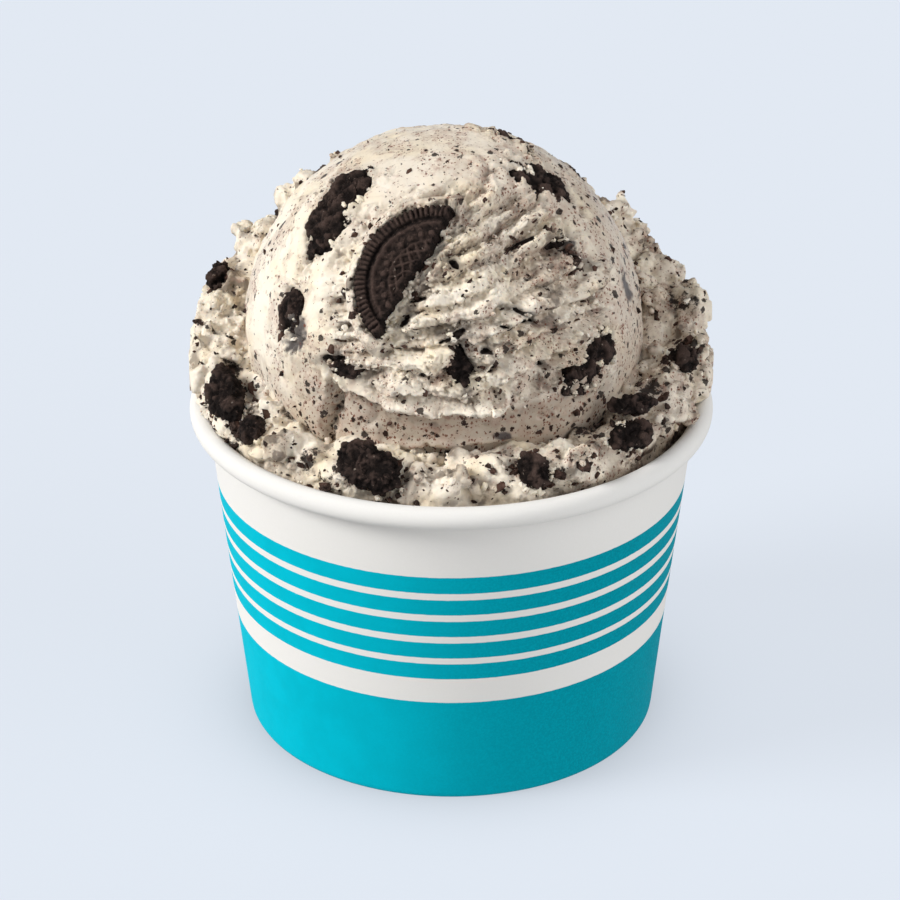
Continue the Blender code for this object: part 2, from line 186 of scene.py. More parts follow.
class StageSizes(bpy.types.PropertyGroup):
    """Camera, floor and lights."""

    distance: bpy.props.FloatProperty(
        name="Distance", description="Camera to its target", unit="LENGTH", default=0.6,
    )
    pitch: bpy.props.FloatProperty(
        name="Pitch", description="How far the camera looks down", subtype="ANGLE", default=math.radians(26.91),
    )
    target: bpy.props.FloatVectorProperty(
        name="Target", description="Point looked at, in metres", size=3, default=(-0.000201, 0, 0.048465),
    )
    lens: bpy.props.FloatProperty(name="Lens", description="Focal length in millimetres", default=137.7)
    floor: bpy.props.FloatVectorProperty(
        name="Floor", description="Colour of the floor", subtype="COLOR", size=3, default=(0.768, 0.823, 0.905),
    )


def settings(name):
    return getattr(bpy.context.scene, name)


TUFT_SEED, CRUMB_SEED, BIT_SEED = 5, 23, 41
SHADES = ("torn", "crease_dust_and_shade", "smear", "dust_and_shade", "pit")


# Shared shapes


def smoothstep(low, high, value):
    share = min(1.0, max(0.0, (value - low) / (high - low)))
    return share * share * (3.0 - 2.0 * share)


def direction(turn, rise):
    return Vector((math.sin(turn) * math.cos(rise), -math.cos(turn) * math.cos(rise), math.sin(rise)))


def turn_of(place):
    return math.atan2(place.x, -place.y)


def spread_of(place):
    """Distance from the cup's own axis."""
    return math.hypot(place.x, place.y)


def noise_at(x, y, z):
    return noise.noise(Vector((x, y, z)))


def knobs(point, size):
    """Packed rounded knobs, 1 on the crown of a knob and about 0 in the creases between."""
    return 1.0 - min(1.0, noise.voronoi(point / size)[0][0] / 0.8) ** 2


def flakes(point, size, seed):
    """Torn flakes: one height for each cell, from about -0.5 to 0.5, with cliffs between them."""
    return noise.noise(noise.voronoi(point / size)[1][0] * 5.3 + Vector((seed, 0, 0)))


def finish_piece(name, work, material, replaced=()):
    """Makes the bmesh, in millimetres, a piece of the object at its place."""
    bmesh.ops.scale(work, vec=Vector((0.001,) * 3), verts=work.verts)
    mesh = bpy.data.meshes.new(name)
    work.to_mesh(mesh)
    work.free()
    mesh.shade_smooth()
    piece = bpy.data.objects.new(name, mesh)
    bpy.context.scene.collection.objects.link(piece)
    piece.data.materials.append(material)
    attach(piece, "root")
    if replaced:
        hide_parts(*replaced)
    return piece


def remeshed(work, grain):
    """The bmesh made again as one even skin with square faces of about this size."""
    mesh = bpy.data.meshes.new("before")
    work.to_mesh(mesh)
    work.free()
    obj = bpy.data.objects.new("before", mesh)
    bpy.context.scene.collection.objects.link(obj)
    step = obj.modifiers.new("Even skin", "REMESH")
    step.mode = "VOXEL"
    step.voxel_size = grain
    step.adaptivity = 0.0
    even = bpy.data.meshes.new_from_object(obj.evaluated_get(bpy.context.evaluated_depsgraph_get()))
    bpy.data.objects.remove(obj)
    bpy.data.meshes.remove(mesh)
    work = bmesh.new()
    work.from_mesh(even)
    bpy.data.meshes.remove(even)
    return work


def uneven_lumps(count, subdivisions, unevenness):
    """Small meshes of different uneven lumps, about 1 in radius, to be copied many times."""
    shapes = []
    for index in range(count):
        lump = bmesh.new()
        bmesh.ops.create_icosphere(lump, subdivisions=subdivisions, radius=1.0)
        offset = Vector((index * 3.7, index * 1.3, -index * 2.1))
        for vertex in lump.verts:
            vertex.co *= 1.0 + unevenness * noise.noise(vertex.co * 1.5 + offset)
        shapes.append(bpy.data.meshes.new("lump"))
        lump.to_mesh(shapes[-1])
        lump.free()
    return shapes


def add_copy(work, shape, matrix):
    moved = shape.copy()
    moved.transform(matrix)
    work.from_mesh(moved)
    bpy.data.meshes.remove(moved)


def spun(work, steps):
    """Spins an outline that starts in the XZ plane once round Z."""
    bmesh.ops.spin(
        work, geom=[*work.verts, *work.edges], cent=(0, 0, 0), axis=(0, 0, 1), angle=math.tau, steps=steps,
        use_merge=True,
    )
    bmesh.ops.remove_doubles(work, verts=work.verts, dist=0.0005)


def cut_off(work, place, outward):
    """Cuts away what lies behind a plane and closes the cut."""
    bmesh.ops.bisect_plane(
        work, geom=[*work.verts, *work.edges, *work.faces], plane_co=place, plane_no=outward, clear_inner=True,
    )
    bmesh.ops.holes_fill(work, edges=[edge for edge in work.edges if edge.is_boundary], sides=0)


def keep_biggest_shell(work):
    """Deletes loose scraps, so that one closed skin is left."""
    shells = []
    waiting = dict.fromkeys(work.verts)
    while waiting:
        start = waiting.popitem()[0]
        shell, search = [start], [start]
        while search:
            for edge in search.pop().link_edges:
                for vertex in edge.verts:
                    if vertex in waiting:
                        del waiting[vertex]
                        shell.append(vertex)
                        search.append(vertex)
        shells.append(shell)
    shells.sort(key=len, reverse=True)
    scraps = [vertex for shell in shells[1:] for vertex in shell]
    if scraps:
        bmesh.ops.delete(work, geom=scraps, context="VERTS")


# Materials


CROWDING = 0.07
NEAR_BLACK = (0.014, 0.009, 0.008, 1)
SOOT = (0.018, 0.011, 0.009, 1)
DARK_SPECK = (0.028, 0.014, 0.011, 1)
TORN_SPECK = (0.030, 0.016, 0.012, 1)
BLACK_BROWN = (0.030, 0.013, 0.010, 1)
RED_BROWN = (0.175, 0.066, 0.042, 1)
DUST_BROWN = (0.19, 0.082, 0.055, 1)
HAZE_BROWN = (0.42, 0.25, 0.19, 1)
STAIN_BROWN = (0.30, 0.17, 0.125, 1)
SMEAR_GREY = (0.060, 0.052, 0.053, 1)
WARM_CREAM = (0.82, 0.715, 0.54, 1)
# Painted shade mixed with cookie dust, for creases and crevices.
CREASE_DUST_AND_SHADE = (0.33, 0.245, 0.175, 1)
CREVICE_DUST_AND_SHADE = (0.045, 0.026, 0.020, 1)
CREAM_FLECK = (0.42, 0.35, 0.29, 1)
CRUMB_BLACK = (0.016, 0.010, 0.008, 1)
CRUMB_BROWN = (0.085, 0.044, 0.032, 1)
CRUMB_WORN = (0.11, 0.07, 0.055, 1)


class Finish:
    """A procedural material under construction."""

    def __init__(self, name):
        self.material = bpy.data.materials.new(name)
        self.material.use_nodes = True
        self.tree = self.material.node_tree
        self.shader = self.tree.nodes["Principled BSDF"]
        self.place = self.add("ShaderNodeTexCoord").outputs["Object"]

    def add(self, kind, **values):
        node = self.tree.nodes.new(kind)
        for key, value in values.items():
            setattr(node, key, value)
        return node

    def set(self, socket, value):
        if isinstance(value, bpy.types.NodeSocket):
            self.tree.links.new(value, socket)
        else:
            socket.default_value = value

    def times(self, first, second, clamp=False):
        return self.math("MULTIPLY", first, second, clamp)

    def math(self, operation, first, second=None, clamp=False):
        node = self.add("ShaderNodeMath", operation=operation, use_clamp=clamp)
        self.set(node.inputs[0], first)
        if second is not None:
            self.set(node.inputs[1], second)
        return node.outputs[0]

    def wandered(self, scale, reach):
        """Object coordinates shifted to and fro by up to about this reach, in metres."""
        node = self.add("ShaderNodeTexNoise")
        self.set(node.inputs["Vector"], self.place)
        node.inputs["Scale"].default_value = scale
        node.inputs["Detail"].default_value = 1.0
        shift = self.add("ShaderNodeVectorMath", operation="MULTIPLY_ADD")
        self.set(shift.inputs[0], node.outputs["Color"])
        shift.inputs[1].default_value = (2 * reach,) * 3
        self.set(shift.inputs[2], self.place)
        return shift.outputs[0]

    def scaled(self, scale, place=None):
        node = self.add("ShaderNodeMapping")
        self.set(node.inputs["Vector"], place or self.place)
        node.inputs["Scale"].default_value = scale
        return node.outputs[0]

    def noise(self, scale, detail=2.0, roughness=0.5, distortion=0.0, place=None):
        node = self.add("ShaderNodeTexNoise")
        self.set(node.inputs["Vector"], place or self.place)
        node.inputs["Scale"].default_value = scale
        node.inputs["Detail"].default_value = detail
        node.inputs["Roughness"].default_value = roughness
        node.inputs["Distortion"].default_value = distortion
        return node.outputs["Fac"]

    def cells(self, scale, place=None):
        node = self.add("ShaderNodeTexVoronoi", feature="F1")
        self.set(node.inputs["Vector"], place or self.place)
        node.inputs["Scale"].default_value = scale
        return node

    def ramp(self, value, low, high, to_low=0.0, to_high=1.0):
        node = self.add("ShaderNodeMapRange", interpolation_type="SMOOTHSTEP")
        self.set(node.inputs["Value"], value)
        self.set(node.inputs["From Min"], low)
        self.set(node.inputs["From Max"], high)
        node.inputs["To Min"].default_value = to_low
        node.inputs["To Max"].default_value = to_high
        return node.outputs["Result"]

    def mix(self, share, first, second):
        node = self.add("ShaderNodeMix", data_type="RGBA")
        self.set(node.inputs[0], share)
        self.set(node.inputs[6], first)
        self.set(node.inputs[7], second)
        return node.outputs[2]

    def attribute(self, name):
        return self.add("ShaderNodeAttribute", attribute_name=name).outputs["Fac"]

    def surface(self, tone, roughness, specular, height, distance, strength):
        """Sets the shader's colour and gloss, and a bump of this height, in metres, over it."""
        self.set(self.shader.inputs["Base Color"], tone)
        self.set(self.shader.inputs["Roughness"], roughness)
        self.shader.inputs["Specular IOR Level"].default_value = specular
        node = self.add("ShaderNodeBump")
        node.inputs["Strength"].default_value = strength
        node.inputs["Distance"].default_value = distance
        self.set(node.inputs["Height"], height)
        self.set(self.shader.inputs["Normal"], node.outputs[0])

    def specks(self, spacing, least, most, soft, place, crowd):
        """Specks cut from 3-D cells, with spacing and radii in metres: more and larger where crowd is 1."""
        cell = self.cells(1.0 / spacing, place)
        size = self.add("ShaderNodeSeparateColor")
        self.set(size.inputs[0], cell.outputs["Color"])
        radius = self.ramp(size.outputs[0], 0.0, 1.0, least / spacing, most / spacing)
        radius = self.math("ADD", radius, self.times(self.math("SUBTRACT", crowd, 0.5), CROWDING))
        inside = self.math("SUBTRACT", radius, cell.outputs["Distance"])
        return self.ramp(inside, 0.0, soft / spacing), size.outputs[1]


def colour(values, share=1.0):
    return (values[0] * share, values[1] * share, values[2] * share, 1.0)


def printed_board():
    """Teal bands on white board: the print changes at set heights, with paper grain, faint ink mottling and painted
    light and shade across the ink.
    """
    cup = settings("cup_sizes")
    make = Finish("printed_board")
    height = make.add("ShaderNodeSeparateXYZ")
    make.set(height.inputs[0], make.place)
    wobble = make.times(make.math("SUBTRACT", make.noise(900, 2), 0.5), 0.00012)
    level = make.math("ADD", height.outputs["Z"], wobble)
    ink = 1.0
    for index, edge in enumerate(cup.print_edges):
        step = make.ramp(level, edge * 0.001 - 0.00004, edge * 0.001 + 0.00004)
        ink = make.math("ADD" if index % 2 else "SUBTRACT", ink, step)
    # Painted light and shade: the ink is painted lighter towards -X, the side the key lamp shines from, and deeper
    # towards +X.
    depth = make.ramp(height.outputs["X"], -0.032, 0.032)
    mottle = make.ramp(make.noise(2600, 3, 0.65), 0.35, 0.7)
    blotch = make.ramp(make.noise(160, 3, 0.6), 0.3, 0.75)
    teal = make.mix(depth, colour(cup.ink, 1.34), colour(cup.ink, 0.62))
    teal = make.mix(make.times(mottle, 0.30), teal, colour(cup.ink, 1.35))
    teal = make.mix(make.times(blotch, 0.25), teal, colour(cup.ink, 0.85))
    white = make.mix(make.times(mottle, 0.25), colour(cup.board), colour(cup.board, 0.95))
    tone = make.mix(make.times(ink, 1.0, clamp=True), white, teal)
    fibres = make.noise(1500, 4, 0.6)
    make.surface(tone, make.ramp(fibres, 0.3, 0.7, 0.55, 0.68), 0.01, fibres, 0.00005, 0.35)
    make.shader.inputs["Subsurface Weight"].default_value = 0.08
    make.shader.inputs["Subsurface Radius"].default_value = (0.0006, 0.0006, 0.0005)
    return make.material


def bare_board():
    """Unprinted board of the cup's floor."""
    cup = settings("cup_sizes")
    make = Finish("bare_board")
    fibres = make.noise(1400, 4, 0.6)
    tone = make.mix(make.ramp(fibres, 0.3, 0.7), colour(cup.board), colour(cup.board, 0.9))
    make.surface(tone, 0.55, 0.5, fibres, 0.00006, 0.4)
    return make.material


def speckled_cream():
    """Cream with dust-tinted patches, dark and reddish specks, grey smears, and painted shade mixed with cookie dust in
    its creases, on the band under the lip and on the side away from the key lamp.
    """
    gelato = settings("gelato_sizes")
    make = Finish("speckled_cream")
    torn, crease_dust_and_shade, smear, dust_and_shade, pit = (make.attribute(name) for name in SHADES)
    warm = make.mix(make.ramp(make.noise(140, 2), 0.42, 0.75), colour(gelato.cream), WARM_CREAM)
    clouds = make.ramp(make.noise(120, 4, 0.68, 0.5), 0.45, 0.59)
    # Patches of cookie dust, joined by dust and painted shade on the band under the lip and on the side away from the
    # key lamp.
    patches = make.math("ADD", make.times(clouds, 0.85), dust_and_shade, clamp=True)
    body = make.mix(make.times(patches, 0.46), warm, colour(gelato.dusk, 0.9))
    body = make.mix(make.times(dust_and_shade, 0.5, clamp=True), body, colour(gelato.dusk, 0.84))
    # Creases get painted shade mixed with cookie dust: tan over the whole crease, near black in the deepest crevices.
    body = make.mix(make.times(crease_dust_and_shade, 0.58), body, CREASE_DUST_AND_SHADE)
    crevice_dust_and_shade = make.times(crease_dust_and_shade, make.ramp(make.noise(330, 3, 0.6), 0.45, 0.58))
    body = make.mix(make.times(crevice_dust_and_shade, 0.85), body, CREVICE_DUST_AND_SHADE)

    ragged_place = make.wandered(2900, 0.00030)
    drawn = make.scaled((1.0, 1.0, 0.74), ragged_place)
    clusters = make.ramp(make.noise(260, 4, 0.7), 0.45, 0.60)
    crowd = make.math("ADD", make.times(clusters, 1.7), make.times(patches, 2.0))
    crowd = make.math("SUBTRACT", crowd, 0.85)
    fine, tint = make.specks(0.00074, -0.00014, 0.00020, 0.00009, drawn, crowd)
    middling, _ = make.specks(0.0013, -0.00038, 0.00036, 0.00012, drawn, crowd)
    fine_torn, _ = make.specks(0.00095, -0.00014, 0.00025, 0.00006, ragged_place, crowd)
    large, _ = make.specks(0.0023, -0.00110, 0.00058, 0.00012, ragged_place, crowd)
    dust, _ = make.specks(0.00046, -0.00006, 0.00019, 0.00008, drawn, crowd)
    stain, _ = make.specks(0.0019, -0.00060, 0.00070, 0.00055, ragged_place, crowd)
    body = make.mix(make.times(stain, 0.5), body, STAIN_BROWN)
    brown = make.mix(make.ramp(tint, 0.15, 0.6), BLACK_BROWN, RED_BROWN)
    haze = make.times(make.ramp(crowd, 0.1, 1.5), make.ramp(make.noise(700, 3, 0.6), 0.42, 0.62))
    body = make.mix(make.times(haze, 0.3), body, HAZE_BROWN)
    halo = make.times(dust, make.ramp(crowd, -0.3, 1.2, 0.04, 0.95))
    body = make.mix(halo, body, DUST_BROWN)
    body = make.mix(make.times(smear, 0.92), body, SMEAR_GREY)
    smooth_part = make.math("SUBTRACT", 1.0, make.times(torn, 0.75))
    body = make.mix(make.times(fine, smooth_part), body, brown)
    body = make.mix(make.times(middling, smooth_part), body, DARK_SPECK)
    in_torn = make.times(torn, make.ramp(crease_dust_and_shade, 0.0, 0.5, 0.35, 0.95))
    body = make.mix(make.times(fine_torn, in_torn), body, TORN_SPECK)
    body = make.mix(make.times(large, 0.92), body, SOOT)
    grit = make.math("ADD", pit, make.times(make.math("SUBTRACT", make.noise(900, 3, 0.7), 0.5), 1.5))
    grit = make.times(make.ramp(grit, 0.3, 0.55), make.ramp(pit, 0.05, 0.3))
    body = make.mix(make.times(grit, 0.95), body, NEAR_BLACK)
    grain = make.noise(1700, 3, 0.6)
    ice = make.noise(520, 3, 0.65)
    depth = make.math("ADD", make.times(ice, torn), make.times(grain, make.ramp(torn, 0.0, 1.0, 0.2, 0.7)))
    make.surface(body, make.ramp(torn, 0.0, 1.0, 0.40, 0.68), 0.14, depth, 0.00042, 0.75)
    make.shader.inputs["Subsurface Weight"].default_value = 0.14
    make.shader.inputs["Subsurface Radius"].default_value = (1.0, 0.7, 0.45)
    make.shader.inputs["Subsurface Scale"].default_value = 0.0007
    return make.material


def dark_cookie():
    """Near-black baked cookie: granular, its worn, raised parts painted lighter as wear and painted light, its hollows
    dark as painted shade, with painted glints and a dusting of cream.
    """
    cookie = settings("cookie_sizes")
    make = Finish("dark_cookie")
    worn_and_lit = make.attribute("worn_and_lit")
    grain = make.noise(1500, 4, 0.75)
    clumps = make.noise(520, 3, 0.65)
    # Raised, worn parts get the lighter tone as wear and painted light; hollows keep the baked tone as painted shade.
    raised = make.math("ADD", worn_and_lit, make.times(make.math("SUBTRACT", clumps, 0.5), 0.6), clamp=True)
    tone = make.mix(raised, colour(cookie.baked), colour(cookie.worn_and_lit))
    # Painted glints on bright grains.
    painted_glints = make.times(make.ramp(grain, 0.52, 0.70), make.ramp(clumps, 0.42, 0.62))
    tone = make.mix(make.times(painted_glints, 0.55), tone, colour(cookie.worn_and_lit, 2.2))
    flecks, _ = make.specks(0.0011, -0.00045, 0.00022, 0.00008, make.wandered(2900, 0.00025), worn_and_lit)
    tone = make.mix(make.times(flecks, 0.55), tone, CREAM_FLECK)
    make.surface(tone, 0.78, 0.12, make.math("ADD", grain, clumps), 0.0010, 0.95)
    return make.material


def brown_crumb():
    """Loose crumbs, each somewhere between black and reddish brown."""
    make = Finish("brown_crumb")
    grain = make.noise(2200, 3, 0.7)
    tone = make.mix(make.ramp(make.noise(380, 1), 0.42, 0.68), CRUMB_BLACK, CRUMB_BROWN)
    tone = make.mix(make.ramp(grain, 0.4, 0.8), tone, CRUMB_WORN)
    make.surface(tone, 0.78, 0.12, grain, 0.0002, 0.8)
    return make.material


def material_from(maker):
    """The material that a maker makes, made once: it has the maker's name."""
    return bpy.data.materials.get(maker.__name__) or maker()


# Paper cup


def cup_profile(cup):
    """Outline of the paper wall, down its outer side, over the hem and up its inner side."""
    def outer(height):
        return cup.foot_radius + cup.taper * height

    def inner(height):
        return outer(height) - cup.paper

    roll_height = cup.height - cup.rim_half_height
    half_width = (cup.rim_radius - inner(roll_height)) / 2
    roll_centre = inner(roll_height) + half_width
    points = []
    for degrees in range(180, -101, -10):
        angle = math.radians(degrees)
        height = roll_height + cup.rim_half_height * math.sin(angle)
        points.append((roll_centre + half_width * math.cos(angle), height))
    tuck = roll_height - cup.rim_half_height * 0.86
    points.append((outer(tuck) + 0.35, tuck))
    points.append((outer(tuck) + 0.05, tuck - 0.25))
    for step in range(12):
        height = (tuck - 0.6) * (1 - step / 12) + 1.2 * step / 12
        points.append((outer(height), height))
    hem_inner = outer(0) - cup.hem_thickness
    points += [(outer(0.9), 0.9), (outer(0), 0.35), (outer(0) - 0.2, 0.0), (hem_inner + 0.25, 0.0), (hem_inner, 0.4)]
    points.append((hem_inner + cup.taper * cup.hem_height, cup.hem_height))
    points.append((inner(cup.hem_height), cup.hem_height + 0.02))
    for step in range(1, 8):
        height = cup.hem_height + (roll_height - cup.hem_height) * step / 8
        points.append((inner(height), height))
    return points


class GELATO_OT_paper_cup(bpy.types.Operator):
    """Makes the printed paper wall with its rolled rim, folded hem and glued side seam"""

    bl_idname = "gelato.paper_cup"
    bl_label = "Paper cup"

    def execute(self, context):
        cup = settings("cup_sizes")
        work = bmesh.new()
        points = [work.verts.new((radius, 0, height)) for radius, height in cup_profile(cup)]
        for first, second in zip(points, points[1:] + points[:1]):
            work.edges.new((first, second))
        spun(work, 288)
        bmesh.ops.recalc_face_normals(work, faces=work.faces)
        overlap, seam_step, sway = math.radians(9), 0.32, 0.10
        for vertex in work.verts:
            radius = spread_of(vertex.co)
            turn = math.atan2(vertex.co.x, vertex.co.y)
            middle = cup.foot_radius + cup.taper * vertex.co.z - cup.paper / 2
            below_roll = 1 - smoothstep(cup.height - 5.2, cup.height - 4.4, vertex.co.z)
            if radius > middle and 0 <= turn < overlap:
                vertex.co.xy *= 1 + seam_step * below_roll * (1 - turn / overlap) / radius
            swell = noise_at(vertex.co.x * 0.02, vertex.co.y * 0.02, vertex.co.z * 0.03)
            vertex.co.xy *= 1 + sway * swell / radius
        finish_piece("paper_cup", work, material_from(printed_board), ["cup_wall"])
        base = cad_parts["cup_base"]
        base.data.materials.clear()
        base.data.materials.append(material_from(bare_board))
        return {"FINISHED"}


# Scoop


FACE_RISE = math.radians(24.8)
FACE = Vector((0, -math.cos(FACE_RISE), math.sin(FACE_RISE)))
FACE_UP = Vector((0, math.sin(FACE_RISE), math.cos(FACE_RISE)))
TORN_CENTRE = (0.13, 0.07)
TORN_REACH = (0.76, 0.62)
LIP_LOWEST = -0.47
LIP_RISE = 0.55
BAND_LEFT = -0.56
BAND_RIGHT = 0.62
BAND_HEIGHT = 0.27
# Each smear: middle across and up, half width and half height, slant.
SMEARS = (
    (0.905, 0.19, 0.03, 0.085, 0.25),
    (-0.72, -0.04, 0.055, 0.12, 0.0),
    (0.30, -0.58, 0.06, 0.025, 0.3),
    (0.61, 0.38, 0.05, 0.03, 0.5),
)
# Each hole: middle across and up, half length, half width, slant in degrees.
DARK_HOLES = (
    (0.100, -0.225, 0.125, 0.026, 100),
    (0.060, -0.050, 0.060, 0.024, 12),
    (0.385, 0.040, 0.080, 0.015, -22),
    (0.630, 0.335, 0.080, 0.018, -27),
    (-0.188, 0.015, 0.045, 0.022, 58),
    (-0.535, -0.195, 0.075, 0.030, -12),
    (0.050, 0.285, 0.035, 0.020, -35),
    (0.485, -0.210, 0.022, 0.013, -30),
    (0.205, -0.150, 0.030, 0.012, -15),
    (0.290, -0.020, 0.030, 0.010, -15),
)


def face_place(normal):
    """Place on the scoop as seen square to its torn face: across, up and towards the viewer, in radii."""
    return normal.x, normal.dot(FACE_UP), normal.dot(FACE)


def lip_height(across):
    return LIP_LOWEST + LIP_RISE * (across - 0.03) ** 2


def ragged(across, up, size, seed):
    return size * (noise_at(across * 9, up * 9, seed) + 0.5 * noise_at(across * 27, up * 27, seed + 5))


def fanned(across, up, seed):
    """Height of a place across the fan of ridges, which run level at the lip and climb to the right above it."""
    bow = 0.42 * (across - 0.03) ** 2 * (1 - smoothstep(-0.35, 0.1, up))
    fan = up - (0.06 + 0.5 * (up + 0.4)) * (across + 0.3) - bow
    return fan + 0.045 * noise_at(across * 2.4, up * 4.0, seed) + 0.018 * noise_at(across * 8, up * 10, seed + 1)


def ridge_wave(across, up, fan, pitch, seed):
    """Sheared ridges: their height, from 0 to 1, and how near a place is to a ridge's torn edge."""
    fan += 0.019 * noise_at(across * 14, up * 15, seed + 2) + 0.009 * noise_at(across * 42, up * 42, seed + 4)
    row = fan / pitch
    index = math.floor(row)
    phase = row - index
    strength = 0.62 + 1.5 * noise_at(across * 5.2 + index * 0.37, index * 1.73, seed + 3)
    strength = min(1.0, max(0.0, strength)) * (0.25 + 0.75 * smoothstep(-0.62, -0.25, across))
    profile = smoothstep(0.0, 0.13, phase) * (1 - 0.92 * smoothstep(0.3, 1.0, phase))
    return strength * profile, strength * (1 - smoothstep(0.0, 0.14, phase))


class ScoopSkin:
    """Works out the scoop's surface: smooth and streaked where the spade ran, torn where it let go."""

    def __init__(self):
        gelato = settings("gelato_sizes")
        self.sizes = gelato
        self.centre = Vector(gelato.scoop_centre)
        self.cookies = cookie_tree("cookie_chunk")
        self.to_wafer = wafer_axes().inverted()

    def at(self, normal):
        """Height above the plain ball, and how torn the place is, how much painted shade and dust its creases get, how
        smeared it is, how much dust and painted shade it gets, and how pitted it is.
        """
        gelato = self.sizes
        across, up, towards = face_place(normal)
        front = smoothstep(0.0, 0.2, towards)
        lip_line = lip_height(across) + ragged(across, up, 0.022, 1.0)
        above_lip = smoothstep(-0.008, 0.008, up - lip_line)
        reach = math.hypot((across - TORN_CENTRE[0]) / TORN_REACH[0], (up - TORN_CENTRE[1]) / TORN_REACH[1])
        reach += 0.13 * noise_at(across * 4, up * 4, 8.0) + 0.06 * noise_at(across * 13, up * 13, 3.0)
        torn = (1 - smoothstep(0.84, 1.02, reach)) * above_lip * front
        place = normal * gelato.scoop_radius

        relief = 0.45 * noise.noise(normal * 2.3 + Vector((4, 1, 2)))
        crease_dust_and_shade = pit = 0.0
        if torn > 0.0:
            fan = fanned(across, up, 3.1)
            high, edge = ridge_wave(across, up, fan, gelato.ridge_pitch, 3.1)
            fine_high, fine_edge = ridge_wave(across + 0.7, up, 1.1 * fan, gelato.ridge_pitch * 0.37, 11.0)
            warped = place + noise.noise_vector(place * 0.9) * 0.7
            sheared = Vector((across * 0.5, fan, 0)) * gelato.scoop_radius + noise.noise_vector(place * 0.9) * 0.5
            flake, chip = flakes(sheared, 1.9, 2.0), flakes(warped, 0.85, 5.0)
            lobe = knobs(sheared, 3.0)
            crumb = knobs(warped, 2.0)
            granule = knobs(warped, 0.95)
            relief += torn * (gelato.ridge_height * (high - 0.35) + 0.38 * (fine_high - 0.3) - gelato.torn_depth)
            crumbly = smoothstep(-0.2, 0.45, noise_at(across * 4.0, up * 6.0, 15.0))
            crumbly = max(crumbly, 0.8 * smoothstep(0.05, 0.3, up) * smoothstep(-0.1, 0.15, across))
            grains = (0.06 + 0.3 * max(edge, crumbly)) * (granule - 0.5)
            relief += torn * ((0.12 + 0.4 * crumbly) * (crumb - 0.55) + grains)
            rubbed = 0.24 * noise.fractal(place * 1.9, 0.6, 2.1, 3)
            relief += torn * (rubbed + 0.75 * flake + 0.42 * chip + 0.9 * (lobe - 0.55))
            hole = smoothstep(0.50, 0.66, noise_at(across * 6, (up - 0.3 * across) * 16, 21.0))
            relief -= torn * 1.4 * hole
            gap = smoothstep(0.4, 0.1, lobe)
            # Painted shade mixed with cookie dust at ridge edges, holes, flake hollows and gaps between lobes.
            crease_dust_and_shade = torn * max(edge, hole, 0.4 * fine_edge, 0.7 * smoothstep(0.15, 0.45, -flake), 0.7 * gap)
            pit = 0.7 * torn * hole
        hole, halo = self.dark_holes(across, up)
        relief -= 1.5 * front * hole
        pit = max(pit, front * hole)
        smooth_share = 1 - torn
        band_left = BAND_LEFT - 0.14 * max(0.0, -0.33 - up) + ragged(up, across, 0.034, 4.0)
        groove = math.exp(-((across - band_left - 0.022) / 0.020) ** 2) * front
        groove *= smoothstep(-0.24, -0.32, up) * smoothstep(-0.72, -0.62, up)
        groove *= 0.8 + 0.7 * noise_at(1.0, up * 14, 3.0)
        relief -= 1.5 * groove
        # The groove also gets dark grit, speckled into its painted shade.
        pit = max(pit, 0.5 * smoothstep(0.3, 0.9, groove))
        streak = noise_at(across * 26 + 2.5 * noise_at(across * 3, up * 3, 2), up * 3.2, 6.5)
        relief += smooth_share * (0.07 * streak + 0.34 * noise.noise(place / 8) + 0.16 * noise.noise(place / 2.6))
        uneven = smoothstep(0.05, 0.45, noise.noise(place / 9 + Vector((2, 8, 5))))
        relief += smooth_share * uneven * (0.5 * (knobs(place + noise.noise_vector(place / 3), 3.6) - 0.5)
                                           + 0.22 * flakes(place, 1.4, 9.0))
        pock = noise.voronoi(place / 5.3)[0][0]
        relief -= smooth_share * 0.45 * (1 - smoothstep(0.08, 0.17, pock))

        below = lip_line - up
        ends = smoothstep(-0.012, 0.016, across - band_left)
        ends *= 1 - smoothstep(0.15, BAND_RIGHT, across)
        fade = 1 - smoothstep(BAND_HEIGHT - 0.1, BAND_HEIGHT + 0.12, below)
        relief -= gelato.band_depth * smoothstep(-0.006, 0.006, below) * ends * fade * front
        lip = math.exp(-((up - lip_line - 0.022) / 0.02) ** 2) * front
        lip *= 1 - smoothstep(0.5, 0.75, abs(across - 0.05))
        relief += 0.55 * lip * (0.7 + 0.8 * noise_at(across * 14, 1.0, 4.0))
        second_line = -0.655 + 0.35 * (across + 0.08) ** 2 + ragged(across, up, 0.02, 9.0)
        second_span = smoothstep(-0.5, -0.42, across) * (1 - smoothstep(0.2, 0.42, across)) * front
        relief += 0.5 * math.exp(-((up - second_line - 0.018) / 0.016) ** 2) * second_span
        relief -= 1.1 * smoothstep(-0.006, 0.006, second_line - up) * second_span
        painted_shade_under_lip = smoothstep(0.0, 0.03, below) * (1 - smoothstep(0.03, 0.12, below)) * ends * front
        # Painted shade along the groove at the flap's step and on the band under the lip.
        crease_dust_and_shade = max(crease_dust_and_shade, 0.9 * groove, 0.75 * painted_shade_under_lip)

        back = 1 - smoothstep(-0.35, 0.1, towards)
        if back > 0.0:
            warped = place + noise.noise_vector(place * 0.3) * 1.5
            lump = knobs(normal * gelato.scoop_radius, 1.3 * gelato.knob_size)
            crumb = knobs(warped, 3.1)
            coarse = back * smoothstep(-0.1, 0.3, noise.noise(normal * 2.6))
            relief += back * 2.2 * (lump - 0.5)
            relief += (0.9 * (crumb - 0.5) + 0.4 * (knobs(warped, 1.5) - 0.5)) * coarse
            torn = max(torn, coarse)
            # Painted shade mixed with cookie dust between the crumbs on the back.
            crease_dust_and_shade = max(crease_dust_and_shade, 0.5 * back * smoothstep(0.35, 0.05, crumb))

